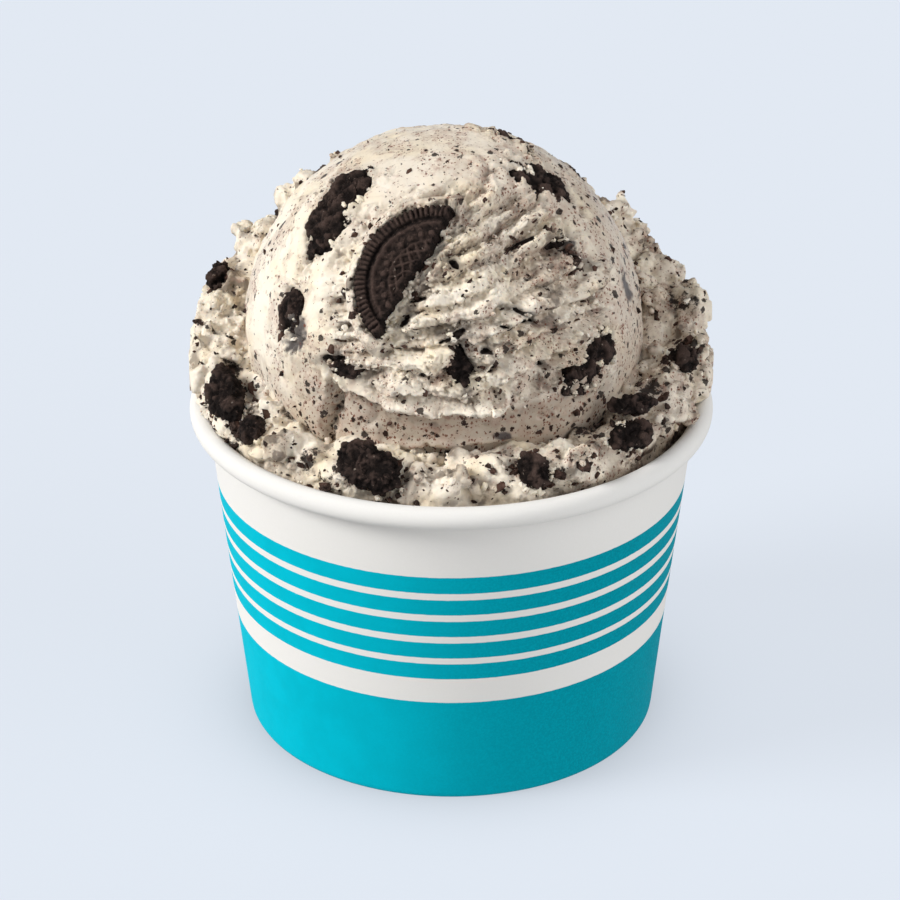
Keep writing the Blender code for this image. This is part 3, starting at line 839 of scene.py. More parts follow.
        around = self.torn_round_cookies(normal, relief, place)
        if around > 0.0:
            warped = place + noise.noise_vector(place * 0.9) * 0.6
            lump = knobs(warped, 2.3)
            relief += around * (1.3 * (lump - 0.5) + 0.5 * (knobs(warped, 1.1) - 0.5) + 0.4 * flakes(warped, 1.3, 3.0))
            torn = max(torn, 0.9 * around)
            # Painted shade mixed with cookie dust between the lumps round each cookie.
            crease_dust_and_shade = max(crease_dust_and_shade, 0.6 * around * smoothstep(0.4, 0.1, lump))
        relief, near = self.round_cookies(normal, relief)
        relief = self.round_wafer(normal, relief)
        smear = self.smears(across, up, towards)
        # Dust and painted shade on the band under the lip, more towards the right.
        dust_and_shade = smoothstep(-0.02, 0.06, below) * front * (1 - smoothstep(0.6, 0.85, abs(across)))
        dust_and_shade *= 1.15 + 0.55 * smoothstep(-0.1, 0.5, across)
        # The right side, away from the key lamp, gets dust and painted shade; cream near the cookies gets cookie dust.
        dust_and_shade += 0.35 * smoothstep(0.3, 0.75, across) * smoothstep(1.0, 0.6, up) + 0.35 * near
        # Darker towards the top of the ball.
        dust_and_shade += 0.3 * smoothstep(0.6, 0.95, normal.z)
        # More dust and painted shade on the smooth skin of the right side.
        dust_and_shade += 0.4 * smoothstep(0.1, 0.5, across) * smoothstep(0.15, 0.0, torn)
        smear = max(smear, 0.5 * near * smoothstep(0.1, 0.5, noise.noise(place * 0.6)), 0.6 * halo * front)
        return relief, torn, crease_dust_and_shade, smear, dust_and_shade, pit

    def torn_round_cookies(self, normal, relief, place):
        """How torn the skin is from a cookie piece close by, in uneven patches."""
        gap = self.cookies.find_nearest(self.centre + normal * (self.sizes.scoop_radius + relief), 5.5)[3]
        if gap is None:
            return 0.0
        patch = smoothstep(-0.12, 0.18, noise.noise(place / 4.5 + Vector((6, 2, 9))))
        return smoothstep(5.5, 1.5, gap) * patch

    def round_cookies(self, normal, relief):
        """Digs the gelato out under a cookie piece and laps it up round its sides."""
        skin = self.centre + normal * (self.sizes.scoop_radius + relief)
        found = self.cookies.find_nearest(skin, 1.8)
        if found[0] is None:
            return relief, 0.0
        spot, outward, _, gap = found
        if (skin - spot).dot(outward) < 0:
            return relief - min(1.8, 0.6 + gap), 0.0
        lap = noise.noise(skin * 0.55) + 0.5 * noise.noise(skin * 1.3)
        lap = (0.75 * max(0.0, lap) - 0.55 * (1 - smoothstep(0.0, 0.5, gap))) * (1 - smoothstep(0.2, 1.5, gap))
        return relief + lap, 1 - smoothstep(0.0, 1.4, gap)

    def round_wafer(self, normal, relief):
        """Laps cream over the wafer's ribbed edge and drops it away along the broken side."""
        cookie = settings("cookie_sizes")
        skin = self.centre + normal * (self.sizes.scoop_radius + relief)
        local = self.to_wafer @ skin
        outside = spread_of(local) - cookie.wafer_radius
        if not (-6 < local.z < 6) or outside > 4:
            return relief
        top = cookie.wafer_thickness / 2
        past_break = local.x - cookie.break_offset
        if outside < -0.25 and past_break > 0.3:
            return relief - max(0.0, local.z + top - 0.6)
        if past_break > -0.5 and outside > -0.3:
            wanted = top - 0.45 + 0.35 * noise.noise(skin * 0.55)
            lap = (1 - smoothstep(0.3, 2.6, outside)) * smoothstep(-0.5, 1.0, past_break)
            return relief + max(0.0, wanted - local.z) * lap
        if past_break <= 0.3:
            sink = (1 - smoothstep(0.0, 3.6, -past_break)) * (1 - smoothstep(-1.0, 1.0, outside))
            return relief - max(0.0, local.z - (top - 2.6)) * sink * 0.9
        return relief

    def dark_holes(self, across, up):
        """Holes and cracks with cookie dust in them, and the greyish halo round each."""
        hole = halo = 0.0
        wander = 0.55 * noise_at(across * 17, up * 17, 31.0) + 0.3 * noise_at(across * 45, up * 45, 33.0)
        for middle_across, middle_up, half_length, half_width, degrees in DARK_HOLES:
            shift_across, shift_up = across - middle_across, up - middle_up
            if abs(shift_across) > 0.3 or abs(shift_up) > 0.3:
                continue
            angle = math.radians(degrees)
            along = shift_across * math.cos(angle) + shift_up * math.sin(angle)
            beside = shift_up * math.cos(angle) - shift_across * math.sin(angle)
            beside += 0.02 * noise_at(along * 20, 2.0, middle_up * 9)
            far = math.hypot(along / half_length, beside / half_width)
            hole = max(hole, 1 - smoothstep(0.55, 1.0, far + wander))
            halo = max(halo, 1 - smoothstep(0.8, 2.3, far + wander))
        return hole, halo

    def smears(self, across, up, towards):
        """Grey smears where a cookie was dragged along the skin."""
        total = 0.0
        for middle_across, middle_up, half_width, half_height, slant in SMEARS:
            shift_up = up - middle_up
            shift_across = across - middle_across + slant * shift_up
            far = math.hypot(shift_across / half_width, shift_up / half_height)
            far += 0.6 * noise_at(across * 18, up * 12, 7.0) + 0.4 * noise_at(across * 50, up * 40, 8.0)
            total = max(total, (1 - smoothstep(0.55, 0.95, far)) * smoothstep(0.0, 0.1, towards))
        return total


def cookie_tree(prefix):
    """Search tree over the cookie solids whose names start so, in millimetres."""
    corners, faces = [], []
    for name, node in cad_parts.items():
        if name.startswith(prefix):
            start = len(corners)
            corners += [vertex.co * 1000 for vertex in node.data.vertices]
            faces += [[start + corner for corner in polygon.vertices] for polygon in node.data.polygons]
    return BVHTree.FromPolygons(corners, faces)


def wafer_axes():
    """Where the wafer's own middle and axes lie on the scoop."""
    cookie, gelato = settings("cookie_sizes"), settings("gelato_sizes")
    aim = direction(cookie.turn, cookie.rise)
    across = (Vector((1, 0, 0)) - aim * aim.x).normalized()
    upward = aim.cross(across)
    slant = cookie.break_direction + math.pi
    outward = across * math.cos(slant) + upward * math.sin(slant)
    axes = Matrix((outward, aim.cross(outward), aim)).transposed().to_4x4()
    middle = (cookie.break_offset + cookie.wafer_radius) / 2
    height = gelato.scoop_radius + cookie.proud - cookie.wafer_thickness / 2
    return Matrix.Translation(Vector(gelato.scoop_centre) + aim * height - outward * middle) @ axes


def add_shading(work, mesh_values):
    """Keeps what each place is like, such as how torn it is or how much dust and painted shade it gets, for the finish
    to read.
    """
    for name, values in mesh_values.items():
        layer = work.verts.layers.float.new(name)
        for vertex, value in zip(work.verts, values):
            vertex[layer] = value


class GELATO_OT_scoop(bpy.types.Operator):
    """Makes the round scoop with its torn face, overhanging lip and streaked sides"""

    bl_idname = "gelato.scoop"
    bl_label = "Scoop"

    def execute(self, context):
        gelato = settings("gelato_sizes")
        skin = ScoopSkin()
        cuts = 106
        work = bmesh.new()
        bmesh.ops.create_cube(work, size=2.0)
        bmesh.ops.subdivide_edges(work, edges=work.edges, cuts=cuts, use_grid_fill=True)
        for vertex in work.verts:
            vertex.co = Vector([math.tan(value * math.pi / 4) for value in vertex.co]).normalized()
        lowest = (gelato.scoop_seat - skin.centre.z) / gelato.scoop_radius
        cut_off(work, UP * lowest, UP)
        fine = []
        for face in work.faces:
            across, up, towards = face_place(face.calc_center_median().normalized())
            if len(face.verts) < 6 and towards > 0.25 and math.hypot(across - 0.02, up + 0.02) < 0.80:
                fine.append(face)
        edges = dict.fromkeys(edge for face in fine for edge in face.edges)
        bmesh.ops.subdivide_edges(work, edges=list(edges), cuts=1, use_grid_fill=True)
        shades = {name: [] for name in SHADES}
        for vertex in work.verts:
            normal = vertex.co.normalized()
            relief, *values = skin.at(normal)
            vertex.co = skin.centre + normal * (gelato.scoop_radius + relief) * vertex.co.length
            over = max(0.0, vertex.co.z - TOP_LIMIT)
            vertex.co.z -= over - TOP_GIVE * (1 - math.exp(-over / TOP_GIVE))
            for kept, value in zip(shades.values(), values):
                kept.append(value)
        add_shading(work, shades)
        bmesh.ops.triangulate(work, faces=[face for face in work.faces if len(face.verts) > 4])
        bmesh.ops.recalc_face_normals(work, faces=work.faces)
        finish_piece("scoop", work, material_from(speckled_cream), ["gelato_scoop"])
        return {"FINISHED"}


# Collar


# Each row: turn in degrees, crest height, crest radius, outer reach, foot height.
COLLAR_SHAPE = (
    (-180, 81.0, 38.0, 43.2, 62.2),
    (-150, 86.0, 38.5, 43.2, 62.2),
    (-138, 86.5, 38.5, 43.2, 62.2),
    (-120, 80.5, 40.5, 44.0, 62.2),
    (-105, 77.5, 42.0, 44.6, 62.2),
    (-90, 70.5, 41.5, 44.8, 62.0),
    (-68, 67.0, 38.5, 42.0, 61.2),
    (-40, 64.4, 35.5, 40.6, 59.8),
    (0, 63.6, 34.8, 40.4, 59.4),
    (35, 64.2, 35.2, 40.0, 59.6),
    (58, 66.6, 36.0, 38.6, 60.2),
    (75, 69.5, 38.5, 40.4, 61.0),
    (90, 71.5, 40.5, 44.4, 62.0),
    (106, 75.5, 41.0, 44.2, 62.2),
    (120, 79.5, 39.0, 43.0, 62.2),
    (136, 84.0, 37.5, 42.6, 62.2),
    (180, 81.0, 38.0, 43.2, 62.2),
)
COLLAR_LIMIT = 45.0
TOP_LIMIT = 106.1
TOP_GIVE = 0.6
COLLAR_SPINE = 32.0
FRONT = math.radians(55)
NOISE_SEED = 7
BRIM_LEVEL = 58
# Each spot: turn in degrees, distance from the axis, height.
DARK_SPOTS = (
    (13, 38.3, 63.4), (18, 40.0, 62.0), (23, 41.5, 61.0), (26, 38.5, 62.5), (32, 39.0, 62.5), (52, 39.5, 64.5),
    (63, 37.4, 69.0), (80, 38.0, 69.3), (82, 41.5, 71.0), (66, 39.0, 62.0),
    (-96, 40.2, 75.0), (-90, 41.8, 71.6), (-105, 40.0, 76.3), (-70, 41.0, 62.5), (-60, 40.8, 62.0), (-37, 38.5, 61.5),
    (-30, 40.3, 62.3), (150, 42.0, 78.0), (-160, 42.0, 76.0), (170, 41.5, 74.0), (-128, 42.0, 79.0),
)


def dark_spots():
    return [direction(math.radians(turn), 0) * spread + UP * height for turn, spread, height in DARK_SPOTS]


def collar_at(turn):
    """Crest height, crest radius, outer reach and foot height of the collar at this turn."""
    degrees = math.degrees(turn)
    for before, after in zip(COLLAR_SHAPE, COLLAR_SHAPE[1:]):
        if before[0] <= degrees <= after[0]:
            share = smoothstep(before[0], after[0], degrees)
            return [low + (high - low) * share for low, high in zip(before[1:], after[1:])]
    return list(COLLAR_SHAPE[0][1:])


def collar_relief(place, gelato):
    warped = place + noise.noise_vector(place / 11) * 2.4
    return gelato.knob_relief * (knobs(warped, gelato.knob_size) - 0.62)


def collar_point(turn, degrees, gelato):
    """A place on the collar, from its inner side (-90) over the crest (0) to its outer foot (90), and its outward way."""
    crest, crest_radius, reach, foot = collar_at(turn)
    angle = math.radians(degrees)
    side = reach - crest_radius if degrees > 0 else crest_radius - 22
    place = direction(turn, 0) * (crest_radius + side * math.sin(angle))
    place += UP * (foot + (crest - foot) * math.cos(angle))
    spine = direction(turn, 0) * COLLAR_SPINE + UP * min(place.z, crest - 5)
    outward = (place - spine).normalized()
    place += outward * collar_relief(place, gelato)
    spread = spread_of(place)
    if spread > COLLAR_LIMIT:
        place.xy *= COLLAR_LIMIT / spread
    return place, outward


def random_way(draw):
    return Vector((draw.uniform(-1, 1), draw.uniform(-1, 1), draw.uniform(-1, 1)))


def random_spin(draw):
    return random_way(draw).to_track_quat("X", "Z").to_matrix().to_4x4()


class GELATO_OT_collar(bpy.types.Operator):
    """Makes the ragged collar of torn gelato that fills the cup round the scoop"""

    bl_idname = "gelato.collar"
    bl_label = "Collar"

    def execute(self, context):
        gelato, cup = settings("gelato_sizes"), settings("cup_sizes")
        work = self.swept_body(gelato, cup)
        self.add_tufts(work, gelato, cup)
        work = remeshed(work, gelato.grain * (1.0))
        self.clear_hidden_middle(work, gelato)
        keep_biggest_shell(work)
        self.roughen(work, gelato, cup)
        self.close_and_fill(work, cup)
        finish_piece("collar", work, material_from(speckled_cream), ["gelato_collar"])
        return {"FINISHED"}

    def swept_body(self, gelato, cup):
        """Body of the collar: a grid of turns and places along its outline."""
        rows = list(range(-36, 91, 3))
        work = bmesh.new()
        line = [work.verts.new((1 + index, 0, 0)) for index in range(len(rows) + 2)]
        top, bottom = work.verts.new((0, 0, 0)), work.verts.new((0, 0, -1))
        chain = [top, *line, bottom]
        for first, second in zip(chain, chain[1:]):
            work.edges.new((first, second))
        spun(work, 360)
        for vertex in work.verts:
            turn = turn_of(vertex.co)
            row = round(spread_of(vertex.co)) - 1
            if row < 0:
                vertex.co = Vector((0, 0, 52 if vertex.co.z < -0.5 else 66))
            elif row < len(rows):
                vertex.co, _ = collar_point(turn, rows[row], gelato)
            else:
                height = 56.5 if row == len(rows) else 52
                wall = cup.foot_radius + cup.taper * height - cup.paper - 0.3
                reach = collar_at(turn)[2]
                vertex.co = direction(turn, 0) * (min(wall, reach) if height > 55 else wall) + UP * height
        bmesh.ops.recalc_face_normals(work, faces=work.faces)
        return work

    def add_tufts(self, work, gelato, cup):
        """Adds torn tufts, clear of the cookie rubble, of the rim and of the band seen in front."""
        draw = random.Random(TUFT_SEED)
        shapes = uneven_lumps(12, 3, 0.6)
        rubble = cookie_tree("cookie_rubble")
        for index in range(gelato.tufts):
            turn = draw.uniform(-math.pi, math.pi)
            degrees = draw.uniform(-24, 84)
            place, outward = collar_point(turn, degrees, gelato)
            radius = 0.8 + 2.3 * draw.random() ** 2.0
            spin, stretch = random_spin(draw), draw.uniform(1.0, 1.55)
            place += outward * draw.uniform(-0.4, 0.8) + random_way(draw)
            spread = spread_of(place) + radius
            if spread > COLLAR_LIMIT:
                place.xy *= (COLLAR_LIMIT - radius) / (spread - radius)
            if place.z - radius < cup.height + 0.6 and spread > 41.2:
                continue
            if rubble.find_nearest(place, radius + 0.5)[0] is not None:
                continue
            if abs(turn) < FRONT and degrees < 40 and place.z + radius > collar_at(turn)[0] + 0.9:
                continue
            size = Matrix.Diagonal((radius * stretch, radius, radius, 1.0))
            add_copy(work, shapes[index % len(shapes)], Matrix.Translation(place) @ spin @ size)

    def clear_hidden_middle(self, work, gelato):
        """Takes away the skin that lies deep inside the scoop and under the brim of the cup."""
        centre = Vector(gelato.scoop_centre)
        hidden_depth, hidden_height = 3.2, 55.5
        reach = gelato.scoop_radius - hidden_depth
        deep = [vertex for vertex in work.verts if (vertex.co - centre).length < reach or vertex.co.z < hidden_height]
        bmesh.ops.delete(work, geom=deep, context="VERTS")
        loose = [vertex for vertex in work.verts if not vertex.link_faces]
        bmesh.ops.delete(work, geom=loose, context="VERTS")

    def roughen(self, work, gelato, cup):
        """Tears the skin finely, and keeps it clear of the paper wall."""
        work.normal_update()
        rubble = cookie_tree("cookie_rubble")
        spots = dark_spots()
        torn, crease_dust_and_shade, dust_and_shade, pit = [], [], [], []
        for vertex in work.verts:
            place, outward = vertex.co.copy(), vertex.normal.copy()
            warped = place + noise.noise_vector(place / 3) * 1.0
            soft = smoothstep(-0.10, 0.30, noise.noise(place / 7 + Vector((7, 3, 1))))
            crumb = knobs(warped, 2.7)
            small = knobs(warped, 1.25)
            clod = knobs(warped, 4.6)
            high = (0.7 + 0.5 * soft) * (clod - 0.6) + (0.15 + 0.45 * soft) * (crumb - 0.55)
            high += (0.03 + 0.37 * soft) * (small - 0.5)
            high += (0.11 + 0.19 * soft) * noise.fractal(place * 1.1, 0.7, 2.1, 3)
            high += (0.25 + 0.65 * soft) * flakes(warped, 2.1, 1.0) + (0.1 + 0.3 * soft) * flakes(warped, 1.0, 6.0)
            vertex.co = place + outward * high
            spread = spread_of(vertex.co)
            wall = cup.foot_radius + cup.taper * vertex.co.z - cup.paper - 0.12
            if vertex.co.z < cup.height - 2.0 and spread > wall:
                vertex.co.xy *= wall / spread
            elif vertex.co.z < cup.height + 0.2 and spread > 41.6:
                vertex.co.z = cup.height + 0.2
            if spread > COLLAR_LIMIT:
                vertex.co.xy *= COLLAR_LIMIT / spread
            torn.append(0.5 + 0.5 * soft)
            # Painted shade: cream sunk low by the wall, strongest on the right front where the gap by the wall shows;
            # that gap also gets dark grit.
            sunk = smoothstep(60.5, 59.0, vertex.co.z) * smoothstep(36, 38, spread_of(place))
            far_warped = place + noise.noise_vector(place / 11) * 2.4
            deep = smoothstep(0.45, 0.15, knobs(far_warped, gelato.knob_size))
            crack = smoothstep(0.32, 0.05, clod)
            chinks = 0.35 * max(smoothstep(0.3, 0.05, crumb), soft * smoothstep(0.3, 0.0, small))
            turn = turn_of(place)
            sunk_right_shade_and_dust = sunk * smoothstep(math.radians(40), math.radians(58), turn)
            # Creases between knobs, cracks and chinks get painted shade mixed with cookie dust.
            crease_dust_and_shade.append(max(0.8 * deep, 0.6 * crack, chinks, 0.45 * sunk, sunk_right_shade_and_dust))
            near = rubble.find_nearest(place, 2.5)[3]
            dust_and_shade.append(0.0 if near is None else 0.9 * (1 - near / 2.5))
            dark = max(1 - smoothstep(1.0, 3.4, (place - spot).length) for spot in spots)
            gritty = max(dark, smoothstep(0.15, 0.5, noise.noise(place / 7 + Vector((1, 9, 4)))))
            clefts = (0.5 + 0.3 * sunk_right_shade_and_dust) * gritty * max(deep, 0.8 * crack)
            pit.append(max(clefts, 0.6 * dark * smoothstep(0.7, 0.35, clod), 0.3 * sunk_right_shade_and_dust))
            # Cream darker towards the front right and lighter towards the left.
            dust_and_shade[-1] += 0.3 * smoothstep(math.radians(20), math.radians(60), turn) * (place.y < 12)
            dust_and_shade[-1] -= 0.7 * smoothstep(math.radians(20), math.radians(-10), turn)
        add_shading(work, dict(zip(SHADES, (torn, crease_dust_and_shade, [0.0] * len(torn), dust_and_shade, pit))))

    def close_and_fill(self, work, cup):
        """Closes the skin: under the scoop across, and under the brim down to the cup's floor."""
        rings = boundary_rings(work)
        rings.sort(key=lambda ring: sum(v.co.z for edge in ring for v in edge.verts) / (2 * len(ring)))
        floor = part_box("cup_base")[1].z * 1000 + 0.3
        wall = cup.foot_radius + cup.taper * floor - cup.paper - 0.4
        made = bmesh.ops.extrude_edge_only(work, edges=rings[0])["geom"]
        for vertex in (item for item in made if isinstance(item, bmesh.types.BMVert)):
            spread = max(1e-6, spread_of(vertex.co))
            vertex.co = Vector((vertex.co.x * wall / spread, vertex.co.y * wall / spread, floor))
        bmesh.ops.holes_fill(work, edges=[edge for edge in work.edges if edge.is_boundary], sides=0)
        bmesh.ops.triangulate(work, faces=[face for face in work.faces if len(face.verts) > 4])
        bmesh.ops.recalc_face_normals(work, faces=work.faces)


def boundary_rings(work):
    """Edges of each open border, as one list for each border."""
    waiting = dict.fromkeys(edge for edge in work.edges if edge.is_boundary)
    rings = []
    while waiting:
        ring = [waiting.popitem()[0]]
        for edge in ring:
            for vertex in edge.verts:
                for other in vertex.link_edges:
                    if other in waiting:
                        del waiting[other]
                        ring.append(other)
        rings.append(ring)
    return rings


# Cookies


class GELATO_OT_cookie_pieces(bpy.types.Operator):
    """Makes each broken cookie piece from its solid, roughened into baked crumb"""

    bl_idname = "gelato.cookie_pieces"
    bl_label = "Cookie pieces"

    def execute(self, context):
        grain = 0.23
        for number, (name, node) in enumerate(sorted(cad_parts.items())):
            if not name.startswith(("cookie_chunk", "cookie_rubble")):
                continue
            work = bmesh.new()
            work.from_mesh(node.data)
            bmesh.ops.scale(work, vec=Vector((1000,) * 3), verts=work.verts)
            bmesh.ops.remove_doubles(work, verts=work.verts, dist=0.001)
            work = remeshed(work, grain)
            work.normal_update()
            worn_and_lit = []
            for vertex in work.verts:
                place = vertex.co + Vector((number * 13.7, 0, 0))
                warped = place + noise.noise_vector(place * 0.7) * 0.8
                flake = knobs(warped, 2.6)
                granule = knobs(warped, 1.0)
                ragged_break = noise.noise(place * 0.55) + 0.5 * noise.noise(place * 1.3)
                high = 0.15 + 0.6 * ragged_break + 0.25 * (flake - 0.5) + 0.34 * (granule - 0.5)
                high += 0.6 * flakes(warped, 2.3, 3.0) + 0.35 * flakes(warped, 0.9, 4.0)
                high += 0.14 * noise.fractal(place * 2.2, 0.8, 2.1, 3)
                vertex.co += vertex.normal * high
                # Raised parts are marked lighter, as wear and painted light; hollows stay dark, as painted shade.
                worn_and_lit.append(smoothstep(0.0, 0.85, high))
            add_shading(work, {"worn_and_lit": worn_and_lit})
            finish_piece(name + "_baked", work, material_from(dark_cookie), [name])
        return {"FINISHED"}


class GELATO_OT_wafer(bpy.types.Operator):
    """Makes the broken half wafer: a ribbed border, a ring and a plain pattern of dots and waffle lines"""

    bl_idname = "gelato.wafer"
    bl_label = "Wafer"

    def execute(self, context):
        cookie = settings("cookie_sizes")
        radius, half = cookie.wafer_radius, cookie.wafer_thickness / 2
        work = bmesh.new()
        bmesh.ops.create_cone(work, cap_ends=True, segments=256, radius1=radius, radius2=radius, depth=2 * half)
        cut_off(work, Vector((cookie.break_offset, 0, 0)), Vector((1, 0, 0)))
        bmesh.ops.recalc_face_normals(work, faces=work.faces)
        work = remeshed(work, 0.13)
        worn_and_lit = []
        for vertex in work.verts:
            worn_and_lit.append(self.shape_vertex(vertex, cookie, radius, half))
        add_shading(work, {"worn_and_lit": worn_and_lit})
        bmesh.ops.transform(work, matrix=wafer_axes(), verts=work.verts)
        finish_piece("half_wafer", work, material_from(dark_cookie), ["cookie_wafer"])
        return {"FINISHED"}

    def shape_vertex(self, vertex, cookie, radius, half):
        """Moves one vertex of the plain segment into the baked pattern, and says how worn and lit it is: lighter on
        raised parts and the top face, painted shade in hollows and on the sides.
        """
        place = vertex.co.copy()
        spread = spread_of(place)
        angle = math.atan2(place.y, place.x)
        rib = 0.5 + 0.5 * math.cos(angle * cookie.ribs)
        rib = smoothstep(0.15, 0.7, rib)
        top = smoothstep(half - 0.35, half - 0.1, place.z)
        border = smoothstep(radius - 2.25, radius - 2.0, spread)
        high = 0.55 * rib * border - 0.40 * smoothstep(radius - 2.8, radius - 2.5, spread) * (1 - border)
        high += 0.62 * math.exp(-((spread - 0.735 * radius) / 0.34) ** 2)
        inner = 1 - smoothstep(0.68 * radius, 0.71 * radius, spread)
        dot_angle = (angle * 26 / math.tau) % 1.0 - 0.5
        dot = math.hypot(dot_angle * math.tau / 26 * spread, spread - 0.605 * radius)
        high += 0.60 * (1 - smoothstep(0.34, 0.62, dot)) * inner
        field = 1 - smoothstep(0.50 * radius, 0.53 * radius, spread)
        line_one = abs(((place.x + place.y) / 2.1) % 1.0 - 0.5) * 2.1
        line_two = abs(((place.x - place.y) / 2.1) % 1.0 - 0.5) * 2.1
        high += 0.55 * field * (1 - smoothstep(0.18, 0.42, min(line_one, line_two)))
        high += 0.40 * math.exp(-((spread - 0.515 * radius) / 0.24) ** 2)
        high *= 0.75 + 0.7 * noise.noise(place * 0.5)
        grain = 0.10 * noise.fractal(place * 2.4, 0.7, 2.1, 3) + 0.22 * (knobs(place, 0.9) - 0.5)
        edge = smoothstep(radius - 0.9, radius, spread)
        vertex.co.z += top * (high - 0.30 * edge + grain)
        if spread > radius - 0.35:
            pull = (0.42 * (1 - rib) + 0.25 * smoothstep(half - 0.7, half, abs(place.z)) - 0.6 * grain) / spread
            vertex.co.xy *= 1 - pull
        broken = 1 - smoothstep(cookie.break_offset, cookie.break_offset + 1.6, place.x)
        rough = 0.9 * noise.noise(Vector((2.0, place.y * 0.35, 0.3))) + 0.45 * (knobs(place, 1.6) - 0.5)
        vertex.co.x += broken * (rough + 0.30 * noise.fractal(place * 1.7, 0.7, 2.1, 3))
        # Raised parts and the top face are marked lighter, as wear and painted light; hollows and sides stay darker, as
        # painted shade.
        return smoothstep(-0.25, 0.6, high + 1.2 * grain) * (0.3 + 0.7 * top)


def sample_places(piece, count, draw, wanted):
    """Random places over a piece's faces where wanted(place) is true, in millimetres, with their outward way."""
    mesh = bpy.data.objects[piece].data
    faces = [face for face in mesh.polygons if wanted(face.center * 1000)]
    chosen = draw.choices(faces, weights=[face.area for face in faces], k=count)
    for face in chosen:
        corners = [mesh.vertices[index].co for index in face.vertices]
        shares = [draw.random() for _ in corners]
        place = sum((corner * share for corner, share in zip(corners, shares)), Vector()) / sum(shares)
        yield place * 1000, face.normal.copy()


class GELATO_OT_crumbs(bpy.types.Operator):
    """Scatters small cookie crumbs over the collar and the torn face"""

    bl_idname = "gelato.crumbs"
    bl_label = "Crumbs"

    def execute(self, context):
        cookie, gelato = settings("cookie_sizes"), settings("gelato_sizes")
        centre = Vector(gelato.scoop_centre)
        draw = random.Random(CRUMB_SEED)
        rubble = cookie_tree("cookie_")
        count = cookie.crumbs

        def on_collar(place):
            return place.z > 57.5 and (place - centre).length > gelato.scoop_radius + 0.3

        def on_torn_face(place):
            across, up, towards = face_place((place - centre).normalized())
            return towards > 0.3 and math.hypot((across - 0.13) / 0.72, (up - 0.05) / 0.56) < 1

        def on_skin(place):
            return place.z > 62

        work = bmesh.new()
        shapes = uneven_lumps(16, 1, 0.9)
        shares = (("collar", 0.70, on_collar), ("scoop", 0.14, on_torn_face), ("scoop", 0.16, on_skin))
        for piece, share, wanted in shares:
            for place, outward in sample_places(piece, int(count * share), draw, wanted):
                if place.z > TOP_LIMIT - 0.6 or spread_of(place) > COLLAR_LIMIT - 1.0:
                    continue
                size = 0.16 + 0.50 * draw.random() ** 3
                near = rubble.find_nearest(place, 2.5)[0]
                if near is not None:
                    size *= 1.4
                elif draw.random() < 0.35:
                    continue
                size = size * Matrix.Diagonal((draw.uniform(0.9, 1.7), 1.0, draw.uniform(0.6, 0.9)))
                sunk = Matrix.Translation(place - outward * size[1][1] * draw.uniform(0.1, 0.6))
                add_copy(work, draw.choice(shapes), sunk @ random_spin(draw) @ size.to_4x4())
        self.add_grit(work, draw, rubble)
        piece = finish_piece("loose_crumbs", work, material_from(brown_crumb), ())
        piece.data.shade_flat()
        return {"FINISHED"}

    def add_grit(self, work, draw, rubble):
        """Larger broken bits, heaped round the cookie pieces and in the dark hollows of the collar."""
        spots = dark_spots()

        def in_hollow(place):
            return place.z > BRIM_LEVEL and any((place - spot).length < 3.2 for spot in spots)

        def by_cookie(place):
            return place.z > BRIM_LEVEL and rubble.find_nearest(place, 1.6)[0] is not None

        shapes = uneven_lumps(10, 2, 0.9)
        for wanted, count in ((in_hollow, 80), (by_cookie, 60)):
            for place, _ in sample_places("collar", count, draw, wanted):
                size = 0.35 + 0.75 * draw.random() ** 2
                if spread_of(place) > COLLAR_LIMIT - 2.0 * size:
                    continue
                shape = Matrix.Diagonal((size * draw.uniform(0.9, 1.5), size, size * draw.uniform(0.6, 0.9), 1.0))
                add_copy(work, draw.choice(shapes), Matrix.Translation(place) @ random_spin(draw) @ shape)


class GELATO_OT_cream_bits(bpy.types.Operator):
    """Scatters small torn bits of gelato along the edges of the cookie pieces and over the torn skin"""

    bl_idname = "gelato.cream_bits"
    bl_label = "Cream bits"

    def execute(self, context):
        gelato = settings("gelato_sizes")
        draw = random.Random(BIT_SEED)
        cookies = cookie_tree("cookie_")
        centre = Vector(gelato.scoop_centre)
        count = gelato.bits

        def by_cookie(place):
            near = cookies.find_nearest(place, 0.9)[3]
            return near is not None and place.z > BRIM_LEVEL

        def on_torn_face(place):
            across, up, towards = face_place((place - centre).normalized())
            return towards > 0.3 and math.hypot((across - 0.13) / 0.66, (up - 0.03) / 0.50) < 1

        def on_collar(place):
            return place.z > BRIM_LEVEL

        work = bmesh.new()
        shapes = uneven_lumps(12, 2, 0.8)
        shares = (
            ("collar", 0.34, by_cookie), ("scoop", 0.22, by_cookie), ("scoop", 0.12, on_torn_face),
            ("collar", 0.32, on_collar),
        )
        for piece, share, wanted in shares:
            for place, outward in sample_places(piece, int(count * share), draw, wanted):
                size = 0.18 + 0.45 * draw.random() ** 2.5
                if spread_of(place) > COLLAR_LIMIT - 2.6 * size:
                    continue
                shape = Matrix.Diagonal((size * draw.uniform(1.0, 1.7), size, size * draw.uniform(0.6, 1.0), 1.0))
                raised = Matrix.Translation(place + outward * size * draw.uniform(0.0, 0.6))
                add_copy(work, draw.choice(shapes), raised @ random_spin(draw) @ shape)
        add_shading(work, {"torn": [0.8] * len(work.verts)})
        finish_piece("cream_bits", work, material_from(speckled_cream), ())
        return {"FINISHED"}


# Stage


COOL, WARM = (0.98, 0.99, 1.0), (1.0, 0.99, 0.97)
# Each lamp: name, turn, rise and spread in degrees, power, tint.
LAMPS = (
    ("key", -76, 33, 24, 3.35, WARM),
    ("fill", 66, 24, 60, 1.75, COOL),
    ("bounce", -5, -38, 110, 0.75, COOL),
)


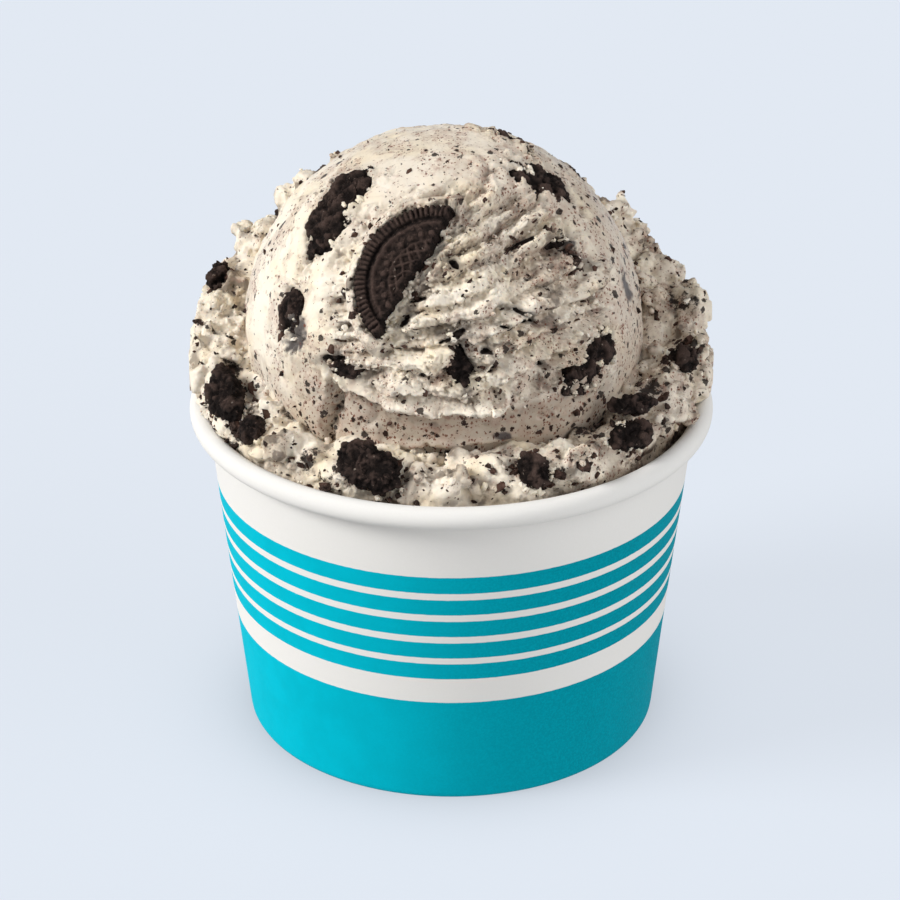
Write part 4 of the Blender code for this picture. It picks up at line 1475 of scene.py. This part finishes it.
class GELATO_OT_stage(bpy.types.Operator):
    """Sets the pale floor, the soft light and the camera"""

    bl_idname = "gelato.stage"
    bl_label = "Stage"

    def execute(self, context):
        stage, scene = settings("stage_sizes"), context.scene
        camera = bpy.data.objects.new("camera", bpy.data.cameras.new("camera"))
        scene.collection.objects.link(camera)
        back = Vector((0, -math.cos(stage.pitch), math.sin(stage.pitch)))
        camera.location = Vector(stage.target) + back * stage.distance
        camera.rotation_euler = (math.pi / 2 - stage.pitch, 0, 0)
        camera.data.lens = stage.lens
        camera.data.clip_start = 0.01
        scene.camera = camera
        scene.view_settings.view_transform = "Standard"
        self.floor(scene, stage)
        for lamp in LAMPS:
            self.light(scene, *lamp)
        world = bpy.data.worlds.new("studio")
        scene.world = world
        world.use_nodes = True
        sky = world.node_tree.nodes["Background"].inputs
        sky["Color"].default_value = (0.97, 0.98, 1.0, 1.0)
        sky["Strength"].default_value = 0.33
        return {"FINISHED"}

    def floor(self, scene, stage):
        """Makes the pale floor, which glows evenly, with a painted shadow round the cup's foot."""
        work = bmesh.new()
        bmesh.ops.create_grid(work, x_segments=1, y_segments=1, size=6.0)
        mesh = bpy.data.meshes.new("floor")
        work.to_mesh(mesh)
        work.free()
        floor = bpy.data.objects.new("floor", mesh)
        scene.collection.objects.link(floor)
        make = Finish("pale_floor")
        glow, painted_foot_shadow, fade = 0.832, 0.19, 0.006
        dull = {"Base Color": colour(stage.floor, 0.14), "Roughness": 0.9, "Specular IOR Level": 0.0}
        for socket, value in (*dull.items(), ("Emission Color", colour(stage.floor))):
            make.shader.inputs[socket].default_value = value
        spread = make.add("ShaderNodeVectorMath", operation="LENGTH")
        make.set(spread.inputs[0], make.place)
        foot = settings("cup_sizes").foot_radius * 0.001
        # The glow dims close to the cup's foot: a painted contact shadow, added to the faint shadows the lamps cast.
        away = make.math("DIVIDE", make.math("SUBTRACT", foot, spread.outputs["Value"]), fade)
        painted_shadow = make.times(make.math("EXPONENT", away), painted_foot_shadow)
        make.set(make.shader.inputs["Emission Strength"], make.math("SUBTRACT", glow, painted_shadow))
        mesh.materials.append(make.material)
        floor.visible_diffuse = False
        floor.visible_shadow = False

    def light(self, scene, name, turn, rise, spread, power, tint):
        """Adds a soft far lamp that shines from this turn and rise, all in degrees."""
        lamp = bpy.data.lights.new(name, "SUN")
        lamp.angle = math.radians(spread)
        lamp.energy = power
        lamp.color = tint
        holder = bpy.data.objects.new(name, lamp)
        source = direction(math.radians(turn), math.radians(rise))
        holder.rotation_euler = source.to_track_quat("Z", "Y").to_euler()
        scene.collection.objects.link(holder)


class GELATO_PT_panel(bpy.types.Panel):
    """Lists the steps that dress the cup"""

    bl_idname = "GELATO_PT_panel"
    bl_label = "Gelato cup"
    bl_space_type = "VIEW_3D"
    bl_region_type = "UI"
    bl_category = "Gelato cup"

    def draw(self, context):
        for step in STEPS:
            self.layout.operator(step.bl_idname)


STEPS = (
    GELATO_OT_stage,
    GELATO_OT_paper_cup,
    GELATO_OT_scoop,
    GELATO_OT_collar,
    GELATO_OT_cookie_pieces,
    GELATO_OT_wafer,
    GELATO_OT_crumbs,
    GELATO_OT_cream_bits,
)
GROUPS = {
    "cup_sizes": CupSizes,
    "gelato_sizes": GelatoSizes,
    "cookie_sizes": CookieSizes,
    "stage_sizes": StageSizes,
}


def register():
    noise.seed_set(NOISE_SEED)
    for group in (*GROUPS.values(), *STEPS, GELATO_PT_panel):
        bpy.utils.register_class(group)
    for name, group in GROUPS.items():
        setattr(bpy.types.Scene, name, bpy.props.PointerProperty(type=group))


def unregister():
    for name in GROUPS:
        delattr(bpy.types.Scene, name)
    for group in reversed((*GROUPS.values(), *STEPS, GELATO_PT_panel)):
        bpy.utils.unregister_class(group)


def main():
    register()
    for step in STEPS:
        group, name = step.bl_idname.split(".")
        getattr(getattr(bpy.ops, group), name)()
    bpy.context.view_layer.update()


if __name__ == "__main__":
    main()
